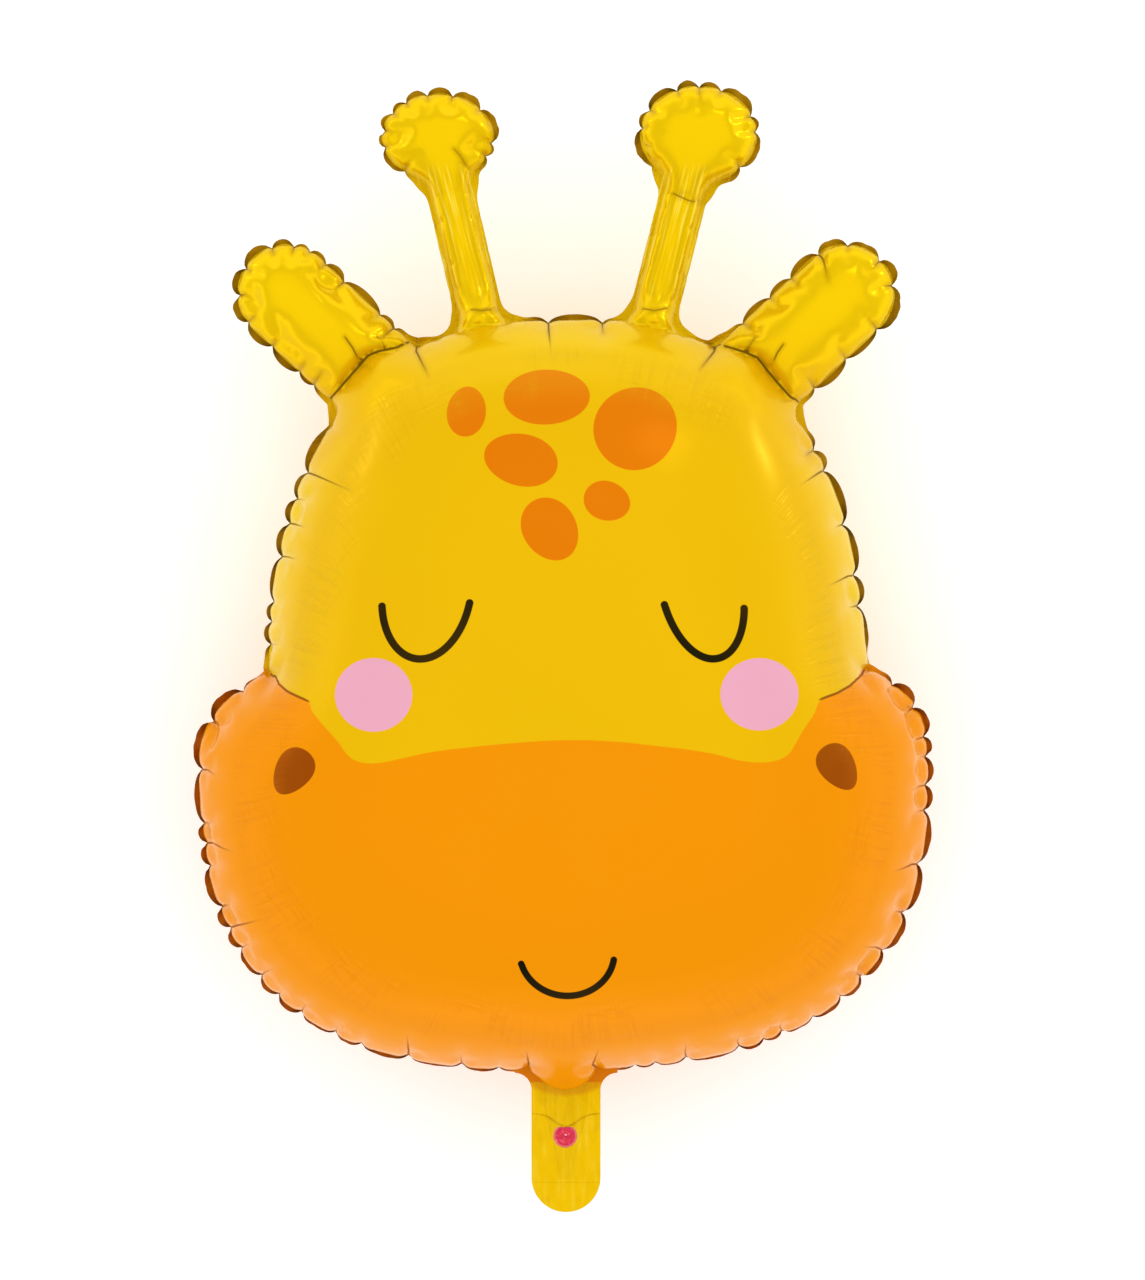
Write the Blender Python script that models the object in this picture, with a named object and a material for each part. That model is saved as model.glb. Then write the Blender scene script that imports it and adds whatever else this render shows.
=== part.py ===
"""A foil balloon in the shape of a giraffe's head, inflated and lying on its back.

The outline is a smooth union of plain shapes, each with its own sizes: head, muzzle, two ears, two horns
with knobs, and the mouth of the filling tail. The seam of the two foils runs round that outline. Outside it
is the flat weld rim, gathered into scallops; inside it both foils are puffed by the gas. The tail is flat.

The drawing plane is X to the giraffe's left and Y up the face, with the middle of the head at its origin.
The finished object lies with its face up, and the middle of its footprint at the world origin.
"""

import math

import bpy
import numpy as np
from mathutils.geometry import delaunay_2d_cdt

# Head, along the seam: half width, reach above and below its middle, and how square it is.
HEAD_HALF_WIDTH = 0.2705
HEAD_RISE = 0.359
HEAD_FALL = 0.180
HEAD_SQUARENESS = 2.55

# Muzzle: its middle measured from the head's, its sizes, and how far its right side is turned up.
MUZZLE_SHIFT = -0.0025
MUZZLE_DROP = 0.0366
MUZZLE_HALF_WIDTH = 0.3300
MUZZLE_RISE = 0.110
MUZZLE_FALL = 0.2825
MUZZLE_TOP_SQUARENESS = 2.5
MUZZLE_CHIN_SQUARENESS = 2.7
MUZZLE_TURN_DEG = 1.3

# Ears: where their axis leaves the head, as an angle round its middle, and how far they lean from level.
EAR_PLACE_DEG = 60.7
EAR_LEAN_DEG = 43.2
EAR_LENGTH = 0.111
EAR_HALF_WIDTH = 0.0440

# Horns: distance of each root from the middle, lean from upright, root to middle of knob, and knob sizes.
HORN_ROOT_X = 0.0765
HORN_LEAN_DEG = {"left": 13.0, "right": 14.1}
HORN_LENGTH = {"left": 0.178, "right": 0.181}
HORN_HALF_WIDTH = 0.0185
KNOB_HALF_WIDTH = {"left": 0.0500, "right": 0.0523}
KNOB_HALF_HEIGHT = {"left": 0.0390, "right": 0.0437}

# How softly each shape runs into its neighbour along the seam.
EAR_FILLET = 0.016
HORN_FILLET = 0.016
KNOB_FILLET = 0.016
CHEEK_FILLET = 0.010
MOUTH_FILLET = 0.010

# Weld rim: its width, the foil's thickness as modelled, and the scallops that it gathers into.
RIM_WIDTH = 0.008
RIM_THICKNESS = 0.0016
SCALLOP_PITCH = 0.030
SCALLOP_DEPTH = 0.0045
SCALLOP_VARIATION = 0.35

# Filling tail under the chin, with the puffed mouth that runs into it.
TAIL_HALF_WIDTH = 0.0314
TAIL_LENGTH = 0.1323
TAIL_THICKNESS = 0.0024
TAIL_ROOT = 0.012
TAIL_FLARE = 0.0155
TAIL_MOUTH_RADIUS = 0.030
TAIL_MOUTH_REACH = 0.0205

# Valve film, seen through the round filling hole in the front of the tail.
VALVE_HOLE_RADIUS = 0.0105
VALVE_HOLE_DROP = 0.0640
VALVE_HOLE_DEPTH = 0.0012
VALVE_FILM_THICKNESS = 0.0006
VALVE_FILM_FLAT = 0.0080
VALVE_CLEARANCE = 0.0003

# Puffing: how high the foil stands over the seam's plane, against a stretched skin, and where it is creased.
PUFF_HEIGHT = 1.12
ROOT_CREASE_DEPTH = 0.30
ROOT_CREASE_WIDTH = 0.012
GATHER_DEPTH = (0.40, 0.16)

# Mesh: distances of the rings inside the seam, and grids of points for what is deeper.
RING_INSETS = (0.0020, 0.0080)
GRIDS = ((0.015, 0.015, 0.038), (0.028, 0.038, 0.090), (0.050, 0.090, 1.0))
WALK_STEP = 0.005

# Flat spot on the back, where the balloon lies.
REST_RADIUS = 0.095

YELLOW = (0.93, 0.71, 0.01, 1.0)
PINK = (0.80, 0.10, 0.16, 1.0)
SIDES = {"left": -1.0, "right": 1.0}


def smooth_min(first, second, softness):
    """The lesser of two distances, rounded where they are close to each other."""
    near = np.maximum(softness - np.abs(first - second), 0.0) / softness
    return np.minimum(first, second) - near * near * softness / 4


def oval(points, middle, half_width, rise, fall, top_power, low_power):
    """Signed distance, roughly, to an oval whose upper and lower halves have their own height and power."""
    x = points[:, 0] - middle[0]
    y = points[:, 1] - middle[1]
    height = np.where(y > 0, rise, fall)
    power = np.where(y > 0, top_power, low_power)
    across = np.abs(x) / half_width
    up = np.abs(y) / height
    radius = np.maximum((across**power + up**power) ** (1 / power), 1e-6)
    slope = radius ** (1 - power)
    gradient = np.hypot(slope * across ** (power - 1) / half_width, slope * up ** (power - 1) / height)
    return (radius - 1) / np.maximum(gradient, 1e-6)


def capsule(points, start, end, radius):
    """Signed distance to a bar with round ends."""
    along = end - start
    share = np.clip((points - start) @ along / (along @ along), 0.0, 1.0)
    return np.linalg.norm(points - start - share[:, None] * along, axis=1) - radius


def head_edge(angle):
    """Point where a ray from the middle of the head, at this angle, meets its outline."""
    across = abs(math.cos(angle)) / HEAD_HALF_WIDTH
    up = abs(math.sin(angle)) / HEAD_RISE
    reach = (across**HEAD_SQUARENESS + up**HEAD_SQUARENESS) ** (-1 / HEAD_SQUARENESS)
    return reach * np.array([math.cos(angle), math.sin(angle)])


def head_top(x):
    """Height of the head's outline over a point x from its middle."""
    return HEAD_RISE * (1 - (abs(x) / HEAD_HALF_WIDTH) ** HEAD_SQUARENESS) ** (1 / HEAD_SQUARENESS)


def ear_axis(side):
    """Where an ear leaves the head, and the middle of its round tip."""
    sign = SIDES[side]
    lean = math.radians(EAR_LEAN_DEG)
    root = head_edge(math.radians(EAR_PLACE_DEG)) * (sign, 1)
    return root, root + EAR_LENGTH * np.array([sign * math.cos(lean), math.sin(lean)])


def horn_axis(side):
    """Where a horn leaves the head, and the middle of its knob."""
    sign = SIDES[side]
    lean = math.radians(HORN_LEAN_DEG[side])
    root = np.array([sign * HORN_ROOT_X, head_top(HORN_ROOT_X)])
    return root, root + HORN_LENGTH[side] * np.array([sign * math.sin(lean), math.cos(lean)])


def chin():
    """Lowest point of the muzzle's seam."""
    return np.array([0.0, -MUZZLE_DROP - MUZZLE_FALL])


def muzzle_distance(points):
    """Signed distance, roughly, to the muzzle's own oval."""
    turn = math.radians(MUZZLE_TURN_DEG)
    x = points[:, 0] - MUZZLE_SHIFT
    y = points[:, 1] + MUZZLE_DROP
    turned = np.stack([x * math.cos(turn) + y * math.sin(turn), y * math.cos(turn) - x * math.sin(turn)], axis=1)
    powers = MUZZLE_TOP_SQUARENESS, MUZZLE_CHIN_SQUARENESS
    return oval(turned, (0, 0), MUZZLE_HALF_WIDTH, MUZZLE_RISE, MUZZLE_FALL, *powers)


def seam_distance(points):
    """Signed distance, roughly, from the seam: under zero inside it."""
    head = oval(points, (0, 0), HEAD_HALF_WIDTH, HEAD_RISE, HEAD_FALL, HEAD_SQUARENESS, HEAD_SQUARENESS)
    whole = smooth_min(head, muzzle_distance(points), CHEEK_FILLET)
    for side in SIDES:
        root, tip = ear_axis(side)
        inner = root - EAR_HALF_WIDTH * (tip - root) / EAR_LENGTH
        whole = smooth_min(whole, capsule(points, inner, tip, EAR_HALF_WIDTH), EAR_FILLET)
        root, knob = horn_axis(side)
        inner = root - HORN_HALF_WIDTH * (knob - root) / HORN_LENGTH[side]
        stem = capsule(points, inner, knob, HORN_HALF_WIDTH)
        height = KNOB_HALF_HEIGHT[side]
        ball = oval(points, knob, KNOB_HALF_WIDTH[side], height, height, 2.0, 2.0)
        whole = smooth_min(whole, smooth_min(stem, ball, KNOB_FILLET), HORN_FILLET)
    middle = chin() + (0, TAIL_MOUTH_RADIUS - TAIL_MOUTH_REACH)
    mouth = np.linalg.norm(points - middle, axis=1) - TAIL_MOUTH_RADIUS
    return smooth_min(whole, mouth, MOUTH_FILLET)


def outward(points):
    """Unit directions that lead away from the inside, at each point."""
    step = 1e-5
    shifted = [points + (step, 0), points - (step, 0), points + (0, step), points - (0, step)]
    right, left, up, down = np.split(seam_distance(np.concatenate(shifted)), 4)
    slope = np.stack([right - left, up - down], axis=1)
    return slope / np.maximum(np.linalg.norm(slope, axis=1), 1e-12)[:, None]


def at_level(points, level, rounds=6):
    """Each point moved along the slope to where the distance from the seam is this level."""
    for _ in range(rounds):
        points = points - outward(points) * (seam_distance(points) - level)[:, None]
    return points


def walk_seam():
    """The seam as a close line of points, walked once round from the muzzle's right side."""
    point = at_level(np.array([[MUZZLE_HALF_WIDTH, -MUZZLE_DROP]]), 0.0)
    line = [point[0]]
    while len(line) < 20 or np.linalg.norm(line[-1] - line[0]) > WALK_STEP:
        normal = outward(point)[0]
        point = at_level(point + WALK_STEP * np.array([[-normal[1], normal[0]]]), 0.0, 2)
        line.append(point[0])
    return np.array(line + [line[0]])


def scalloped_seam():
    """Points along the seam, with each one's share of its scallop: 0 where two scallops meet."""
    line = walk_seam()
    travelled = np.concatenate([[0], np.cumsum(np.linalg.norm(np.diff(line, axis=0), axis=1))])
    count = round(travelled[-1] / SCALLOP_PITCH)
    lengths = 1 + SCALLOP_VARIATION * np.random.default_rng(7).uniform(-1, 1, count)
    starts = np.concatenate([[0], np.cumsum(lengths)]) * travelled[-1] / lengths.sum()
    shares = np.array([0, 1, 2]) / 3
    places = (starts[:-1, None] + shares * np.diff(starts)[:, None]).ravel()
    points = np.stack([np.interp(places, travelled, line[:, axis]) for axis in (0, 1)], axis=1)
    return at_level(points, 0.0), np.tile(shares, count)


def rim_edge(seam, shares):
    """The cut edge of the weld rim: scallops that bow out between the gathers."""
    widths = RIM_WIDTH - SCALLOP_DEPTH * (1 - np.sin(np.pi * shares) ** 0.6)
    points = seam
    for _ in range(4):
        points = points + outward(points) * widths[:, None] / 4
    return points


def line_distance(points, line):
    """Distance of each point from a closed line of points."""
    ends = np.roll(line, -1, axis=0)
    along = ends - line
    gaps = []
    for chunk in np.array_split(points, 1 + len(points) // 2000):
        to_start = chunk[:, None] - line
        share = np.clip((to_start * along).sum(2) / (along**2).sum(1), 0, 1)
        gaps.append(np.linalg.norm(to_start - share[:, :, None] * along, axis=2).min(1))
    return np.concatenate(gaps)


def deep_points(seam):
    """Points for the inside, in staggered rows that are wider apart the deeper they lie."""
    low, high = seam.min(0), seam.max(0)
    found = []
    for pitch, nearest, furthest in GRIDS:
        rows = np.arange(low[1], high[1], pitch * math.sqrt(3) / 2)
        columns = np.arange(low[0] - pitch, high[0] + pitch, pitch)
        x, y = np.meshgrid(columns, rows)
        x = x + np.where(np.arange(len(rows)) % 2, pitch / 2, 0)[:, None]
        points = np.stack([x.ravel(), y.ravel()], axis=1)
        points = points[seam_distance(points) < -nearest / 2]
        gap = line_distance(points, seam)
        found.append(points[(gap > nearest) & (gap <= furthest)])
    return np.concatenate(found)


def inner_net(seam):
    """The flat net inside the seam: its points, its triangles, and how many rings it starts with."""
    rings = [seam] + [at_level(seam, -inset) for inset in RING_INSETS]
    count = len(seam)
    triangles = []
    for ring in range(len(RING_INSETS)):
        outer = ring * count + np.arange(count)
        inner = outer + count
        after = np.roll(outer, -1), np.roll(inner, -1)
        triangles += [np.stack([outer, after[0], after[1]], 1), np.stack([outer, after[1], inner], 1)]
    innermost = rings[-1]
    loose = np.concatenate([innermost, deep_points(seam)])
    border = list(range(count))
    made = delaunay_2d_cdt([tuple(p) for p in loose], [], [border], 1, 1e-7)
    first = (len(rings) - 1) * count
    fill = np.array([face for face in made[2]])
    origin = np.array([min(source) for source in made[3]])
    triangles.append(origin[fill] + first)
    return np.concatenate(rings[:-1] + [loose]), np.concatenate(triangles)


def skin_height(points, triangles, fixed):
    """Height of a skin stretched over the net and pushed up evenly, with its first points held at zero."""
    corners = points[triangles]
    stiffness = np.zeros((len(points), len(points)))
    load = np.zeros(len(points))
    for here in range(3):
        a, b, c = (triangles[:, (here + turn) % 3] for turn in range(3))
        to_b = corners[:, (here + 1) % 3] - corners[:, here]
        to_c = corners[:, (here + 2) % 3] - corners[:, here]
        double_area = np.abs(to_b[:, 0] * to_c[:, 1] - to_b[:, 1] * to_c[:, 0])
        weight = (to_b * to_c).sum(1) / double_area / 2
        np.add.at(stiffness, (b, c), -weight)
        np.add.at(stiffness, (c, b), -weight)
        np.add.at(stiffness, (b, b), weight)
        np.add.at(stiffness, (c, c), weight)
        np.add.at(load, a, double_area / 6)
    free = slice(fixed, None)
    height = np.zeros(len(points))
    height[free] = np.linalg.solve(stiffness[free, free], load[free])
    return np.maximum(height, 0)


def root_creases(points):
    """Factor that dips the puffed height where an ear or a horn leaves the head, and at each knob."""
    factor = np.ones(len(points))
    roots = []
    for side in SIDES:
        roots.append((*ear_axis(side), EAR_HALF_WIDTH))
        roots.append((*horn_axis(side), HORN_HALF_WIDTH))
    for root, tip, half_width in roots:
        along = (tip - root) / np.linalg.norm(tip - root)
        distance = (points - root) @ along
        beside = np.abs((points - root) @ np.array([-along[1], along[0]]))
        reach = np.clip((1.6 * half_width - beside) / (0.6 * half_width), 0, 1)
        factor *= 1 - ROOT_CREASE_DEPTH * reach * np.exp(-((distance / ROOT_CREASE_WIDTH) ** 2))
    return factor


def puffed_height(points, triangles, shares):
    """Height of the foil over the seam's plane at each point of the net."""
    count = len(shares)
    height = PUFF_HEIGHT * np.sqrt(skin_height(points, triangles, count)) * root_creases(points)
    gather = np.exp(-((np.minimum(shares, 1 - shares) / 0.2) ** 2))
    for ring in range(1, len(RING_INSETS) + 1):
        height[ring * count : (ring + 1) * count] *= 1 - GATHER_DEPTH[ring - 1] * gather
    return height


def envelope_mesh():
    """Points and faces of both foils with their weld rim, in the drawing plane, with z 0 at the seam."""
    seam, shares = scalloped_seam()
    net, triangles = inner_net(seam)
    height = puffed_height(net, triangles, shares)
    resting = np.linalg.norm(net - rest_middle(net, triangles, height), axis=1) < REST_RADIUS
    depth = height.copy()
    floor = depth[resting].min() if resting.any() else depth.max()
    depth = np.minimum(depth, floor)
    half = RIM_THICKNESS / 2
    edge = rim_edge(seam, shares)
    count, total = len(seam), len(net)
    front = np.column_stack([net, height + half])
    back = np.column_stack([net, -depth - half])
    edge_front = np.column_stack([edge, np.full(count, half)])
    edge_back = np.column_stack([edge, np.full(count, -half)])
    points = np.concatenate([front, back, edge_front, edge_back])
    here = np.arange(count)
    after = np.roll(here, -1)
    top, low = 2 * total + here, 2 * total + count + here
    top_after, low_after = 2 * total + after, 2 * total + count + after
    faces = [
        triangles,
        triangles[:, ::-1] + total,
        np.stack([here, top, top_after], 1),
        np.stack([here, top_after, after], 1),
        np.stack([total + here, total + after, low_after], 1),
        np.stack([total + here, low_after, low], 1),
        np.stack([top, low, low_after], 1),
        np.stack([top, low_after, top_after], 1),
    ]
    return points, np.concatenate(faces), floor + half


def rest_middle(net, triangles, height):
    """Point under the balloon's centre of mass, seen from the front."""
    corners = net[triangles]
    first, second = corners[:, 1] - corners[:, 0], corners[:, 2] - corners[:, 0]
    area = np.abs(first[:, 0] * second[:, 1] - first[:, 1] * second[:, 0]) / 2
    volume = area * height[triangles].mean(1)
    return (corners.mean(1) * volume[:, None]).sum(0) / volume.sum()


def new_object(name, points, faces, material):
    """A mesh object with this material, at the world origin."""
    mesh = bpy.data.meshes.new(name)
    mesh.from_pydata([tuple(map(float, p)) for p in points], [], [tuple(map(int, f)) for f in faces])
    mesh.shade_smooth()
    mesh.set_sharp_from_angle(angle=math.radians(60))
    obj = bpy.data.objects.new(name, mesh)
    if material:
        mesh.materials.append(material)
    bpy.context.collection.objects.link(obj)
    return obj


def plate(name, outline, low, high, material):
    """A flat plate with this outline, from one height to another."""
    count = len(outline)
    points = [(x, y, z) for z in (low, high) for x, y in outline]
    sides = [(i, (i + 1) % count, count + (i + 1) % count, count + i) for i in range(count)]
    faces = [tuple(range(count))[::-1], tuple(range(count, 2 * count))] + sides
    return new_object(name, points, faces, material)


def arc(middle, radius, start_deg, end_deg, steps):
    """Points along an arc, both ends included."""
    angles = np.radians(np.linspace(start_deg, end_deg, steps + 1))
    return [(middle[0] + radius * math.cos(a), middle[1] + radius * math.sin(a)) for a in angles]


def tail_outline():
    """The tail seen from the front: flared where it leaves the chin, and round at its end."""
    root_y = chin()[1] + TAIL_ROOT
    end_middle = (0.0, chin()[1] - TAIL_LENGTH + TAIL_HALF_WIDTH)
    flare_y = chin()[1] - RIM_WIDTH - TAIL_FLARE
    flare_x = TAIL_HALF_WIDTH + TAIL_FLARE
    left = arc((-flare_x, flare_y), TAIL_FLARE, 90, 0, 6)
    right = arc((flare_x, flare_y), TAIL_FLARE, 180, 90, 6)
    round_end = arc(end_middle, TAIL_HALF_WIDTH, 180, 360, 20)
    return [(-flare_x, root_y)] + left + round_end + right + [(flare_x, root_y)]


def valve_outline(radius):
    """The film seen through the filling hole: a disc whose top is cut straight."""
    flat = min(VALVE_FILM_FLAT, 0.98 * radius)
    start = math.degrees(math.acos(flat / radius))
    return arc(valve_middle(), radius, 90 + start, 450 - start, 36)


def valve_middle():
    """Middle of the filling hole."""
    return np.array([0.0, chin()[1] - VALVE_HOLE_DROP])


def foil_material(name, colour, roughness):
    """Metallised film, with the colour of its print."""
    material = bpy.data.materials.new(name)
    material.use_nodes = True
    shader = material.node_tree.nodes["Principled BSDF"]
    shader.inputs["Base Color"].default_value = colour
    shader.inputs["Roughness"].default_value = roughness
    shader.inputs["Metallic"].default_value = 0.5
    return material


def add_boolean(obj, operation, other):
    """Joins or cuts with another object, which is then only a helper."""
    modifier = obj.modifiers.new(operation.title(), "BOOLEAN")
    modifier.operation = operation
    modifier.solver = "EXACT"
    modifier.object = other
    other.hide_render = True
    other.display_type = "WIRE"


def main():
    for obj in list(bpy.data.objects):
        bpy.data.objects.remove(obj)
    points, faces, seam_height = envelope_mesh()
    yellow = foil_material("yellow_foil", YELLOW, 0.25)
    pink = foil_material("valve_film", PINK, 0.35)
    outline = tail_outline()
    low_y = min(y for _, y in outline)
    middle = np.array([(points[:, 0].min() + points[:, 0].max()) / 2, (low_y + points[:, 1].max()) / 2])

    envelope = new_object("foil_envelope", points, faces, yellow)
    tail = plate("tail_helper", outline, -TAIL_THICKNESS / 2, TAIL_THICKNESS / 2, None)
    hole_floor = TAIL_THICKNESS / 2 - VALVE_HOLE_DEPTH
    hole = plate(
        "filling_hole_helper",
        valve_outline(VALVE_HOLE_RADIUS + VALVE_CLEARANCE),
        hole_floor,
        TAIL_THICKNESS,
        None,
    )
    film_low = hole_floor + VALVE_CLEARANCE
    film = plate(
        "valve_film", valve_outline(VALVE_HOLE_RADIUS), film_low, film_low + VALVE_FILM_THICKNESS, pink
    )
    for obj in (envelope, tail, hole, film):
        obj.location = (-middle[0], -middle[1], seam_height)
    add_boolean(envelope, "UNION", tail)
    add_boolean(envelope, "DIFFERENCE", hole)


main()
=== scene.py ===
"""Looks of a giraffe-shaped foil balloon that lies on its back with its printed face up.

The two foils are one fine net over the outline of the solids. A small simulation lets gas pressure fill the
foil that is gathered along the weld: it pulls the rim into scallops and leaves creases that run inwards.
"""
import math

import bpy
import numpy as np
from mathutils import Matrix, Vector
from mathutils.geometry import delaunay_2d_cdt


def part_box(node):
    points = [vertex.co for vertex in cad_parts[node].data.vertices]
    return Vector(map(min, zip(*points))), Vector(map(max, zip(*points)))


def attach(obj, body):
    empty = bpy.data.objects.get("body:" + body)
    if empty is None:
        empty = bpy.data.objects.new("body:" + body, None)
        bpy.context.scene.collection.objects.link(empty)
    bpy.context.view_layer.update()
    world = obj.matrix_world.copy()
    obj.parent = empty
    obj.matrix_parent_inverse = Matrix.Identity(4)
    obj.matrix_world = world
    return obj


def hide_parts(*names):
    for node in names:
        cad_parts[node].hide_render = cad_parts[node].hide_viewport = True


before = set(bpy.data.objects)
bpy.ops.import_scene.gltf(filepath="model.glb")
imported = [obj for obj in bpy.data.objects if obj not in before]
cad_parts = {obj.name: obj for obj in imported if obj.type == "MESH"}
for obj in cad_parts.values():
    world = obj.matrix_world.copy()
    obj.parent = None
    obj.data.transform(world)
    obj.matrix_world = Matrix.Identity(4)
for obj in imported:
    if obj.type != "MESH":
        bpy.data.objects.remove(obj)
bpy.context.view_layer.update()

# Outline of the seam, with the sizes of the solids. X is to the right and Y up the face.
HEAD_HALF_WIDTH = 0.2705
HEAD_RISE = 0.359
HEAD_FALL = 0.180
HEAD_SQUARENESS = 2.55
MUZZLE_SHIFT = -0.0025
MUZZLE_DROP = 0.0366
MUZZLE_HALF_WIDTH = 0.3300
MUZZLE_RISE = 0.110
MUZZLE_FALL = 0.2825
MUZZLE_TOP_SQUARENESS = 2.5
MUZZLE_CHIN_SQUARENESS = 2.7
MUZZLE_TURN_DEG = 1.3
EAR_PLACE_DEG = 60.7
EAR_LEAN_DEG = 43.2
EAR_LENGTH = 0.111
EAR_HALF_WIDTH = 0.0440
HORN_ROOT_X = 0.0765
HORN_LEAN_DEG = {"left": 13.0, "right": 14.1}
HORN_LENGTH = {"left": 0.178, "right": 0.181}
HORN_HALF_WIDTH = 0.0185
KNOB_HALF_WIDTH = {"left": 0.0500, "right": 0.0523}
KNOB_HALF_HEIGHT = {"left": 0.0390, "right": 0.0437}
EAR_FILLET = 0.016
HORN_FILLET = 0.016
KNOB_FILLET = 0.016
CHEEK_FILLET = 0.010
MOUTH_FILLET = 0.010
TAIL_HALF_WIDTH = 0.0314
TAIL_LENGTH = 0.1323
TAIL_FLARE = 0.0155
TAIL_MOUTH_RADIUS = 0.030
TAIL_MOUTH_REACH = 0.0205
VALVE_HOLE_RADIUS = 0.0105
VALVE_HOLE_DROP = 0.0640
VALVE_FILM_FLAT = 0.0080
PUFF_HEIGHT = 1.12
EAR_GROOVE = 0.46
HORN_GROOVE = 0.42
NECK_GROOVE = {"left": 0.10, "right": 0.24}
SIDES = {"left": -1.0, "right": 1.0}

# Camera: size of a picture point in the seam's plane, its distance, and where its axis meets that plane.
PIXEL = 0.00091
DISTANCE = 4.0
VIEW_AXIS = np.array([(572.5 - 566) * PIXEL, (716 - 640) * PIXEL])
PICTURE_HEIGHT = 1280

# The fine net: steps along the seam, rings beside it, and rows inside with their pitch and range of depth.
SEAM_STEP = 0.0026
RIM_SHARES = (0.34, 0.67, 1.0)
INNER_RINGS = (0.0012, 0.0032, 0.0058)
GRIDS = ((0.0037, 0.0085, 0.042), (0.0075, 0.042, 1.0))

# Weld rim: how far its scallops reach at their middle and where two of them meet, and its straight parts.
RIM_REACH = 0.0077
RIM_NECK = 0.0010
RIM_STRAIGHT = 0.0034
RIM_GUSSET = 0.0045
RIM_OVER_TAIL = 0.0012
TAIL_ROOT_HALF_WIDTH = 0.037

# Gathers along the seam: their spacing, and the width, depth and reach of the crease at each. They are smaller
# above the first height here and below the second, and the mouth of the tail has none.
GATHER_PITCH = 0.033
GATHER_PITCH_ROUND = 0.026
GATHER_VARIATION = 0.45
GATHER_WIDTH = 0.0021
GATHER_DEPTH = 0.0024
GATHER_REACH = 0.013
KNOBS_Y = 0.445
LOW_MUZZLE_Y = -0.24
TAIL_MOUTH_HALF_WIDTH = 0.046
LONG_DEPTH = 0.0036
CREASE_STEP = 0.0022

# Foil: how hard it pulls when it is stretched, how hard it pushes back when it is pressed and bent, the share
# of slack along the seam, how much of its speed each round keeps, and the gas, renewed every few rounds.
FOIL_PULL = 0.12
SKIN_PUSH = (0.03, 0.012)
RIM_PUSH = (0.10, 0.040)
LEAST_SLACK = 0.010
MOST_SLACK = 0.12
KEPT_SPEED = 0.96
GAS_PRESSURE = 0.010
GAS_ROUNDS = 5
ROUNDS = 1200

# Long creases: where each starts by the seam, and where it ends.
LONG_CREASES = (
    (-0.2330, 0.2220, -0.1802, 0.1966), (-0.2603, 0.1456, -0.2366, 0.1411),
    (0.2439, 0.2266, 0.2038, 0.2038), (0.2657, 0.1292, 0.2266, 0.1147),
    (-0.0164, 0.3640, -0.0127, 0.3185), (-0.1356, 0.3385, -0.1183, 0.2958),
    (0.1329, 0.3422, 0.1147, 0.3039), (-0.3249, -0.1156, -0.2912, -0.1219),
    (-0.3058, -0.1929, -0.2648, -0.1775), (-0.2757, -0.2330, -0.2584, -0.2239),
    (-0.2111, -0.2885, -0.2057, -0.2748), (-0.1429, -0.3112, -0.1420, -0.2803),
    (-0.0355, -0.3203, -0.0355, -0.2930), (0.0309, -0.3231, 0.0300, -0.2912),
    (0.1083, -0.3130, 0.1074, -0.2894), (0.1984, -0.2894, 0.1966, -0.2703),
    (0.2867, -0.2138, 0.2630, -0.2047), (0.3185, -0.1347, 0.2876, -0.1392),
    (0.3294, -0.0637, 0.3076, -0.0683), (0.3358, -0.0173, 0.3130, -0.0237),
    (-0.2575, 0.1784, -0.2311, 0.1693), (0.2684, 0.1784, 0.2439, 0.1693),
    (-0.3394, -0.0491, -0.3130, -0.0537), (-0.2421, -0.2721, -0.2311, -0.2566),
    (0.1583, -0.3085, 0.1556, -0.2857), (-0.0965, -0.3203, -0.0955, -0.3003),
    (0.2539, -0.2584, 0.2421, -0.2457), (-0.2848, 0.3631, -0.2766, 0.3749),
    (-0.2648, 0.3394, -0.2621, 0.3449), (-0.2384, 0.3167, -0.2375, 0.3276),
    (0.2348, 0.4131, 0.2384, 0.3877), (0.2521, 0.3258, 0.2457, 0.3376),
    (0.2803, 0.3549, 0.2675, 0.3649), (0.1219, 0.5642, 0.1238, 0.5496),
    (0.1602, 0.4987, 0.1520, 0.5078), (-0.1465, 0.4969, -0.1383, 0.5060),
    (-0.2711, 0.0397, -0.2590, 0.0301), (0.2734, 0.0439, 0.2545, 0.0292),
)

# Folds where an ear, a horn or a cheek meets the head: the depth and the points of each. The ears' are first.
FOLD_DEPTH = 0.0050
FOLDS = (
    (FOLD_DEPTH, (-0.1430, 0.3380), (-0.1533, 0.3323), (-0.1687, 0.3303), (-0.1785, 0.3261),
     (-0.1847, 0.3185), (-0.1966, 0.3052), (-0.2084, 0.2919), (-0.2160, 0.2857)),
    (FOLD_DEPTH, (0.1281, 0.3372), (0.1407, 0.3352), (0.1616, 0.3289), (0.1727, 0.3240),
     (0.1811, 0.3129), (0.1908, 0.3010), (0.2020, 0.2885), (0.2131, 0.2843)),
    (0.0026, (-0.2007, 0.3442), (-0.1920, 0.3322), (-0.1864, 0.3211)),
    (0.0018, (-0.1687, 0.3456), (-0.1642, 0.3347)),
    (0.0020, (0.1700, 0.3428), (0.1640, 0.3313)),
    (0.0026, (0.1971, 0.3372), (0.1902, 0.3276), (0.1863, 0.3190)),
    (FOLD_DEPTH, (-0.2585, 0.0297), (-0.2475, 0.0230), (-0.2352, 0.0181), (-0.2252, 0.0141)),
    (FOLD_DEPTH, (0.2538, 0.0287), (0.2403, 0.0221), (0.2222, 0.0160)),
    (0.0022, (-0.0884, 0.3685), (-0.0764, 0.3667), (-0.0635, 0.3685)),
    (0.0022, (0.0699, 0.3685), (0.0801, 0.3667), (0.0912, 0.3695)),
    (0.0020, (-0.1037, 0.5157), (-0.0946, 0.5060), (-0.0874, 0.4941)),
    (0.0022, (0.0974, 0.4741), (0.1110, 0.4677), (0.1229, 0.4659)),
)


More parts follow.
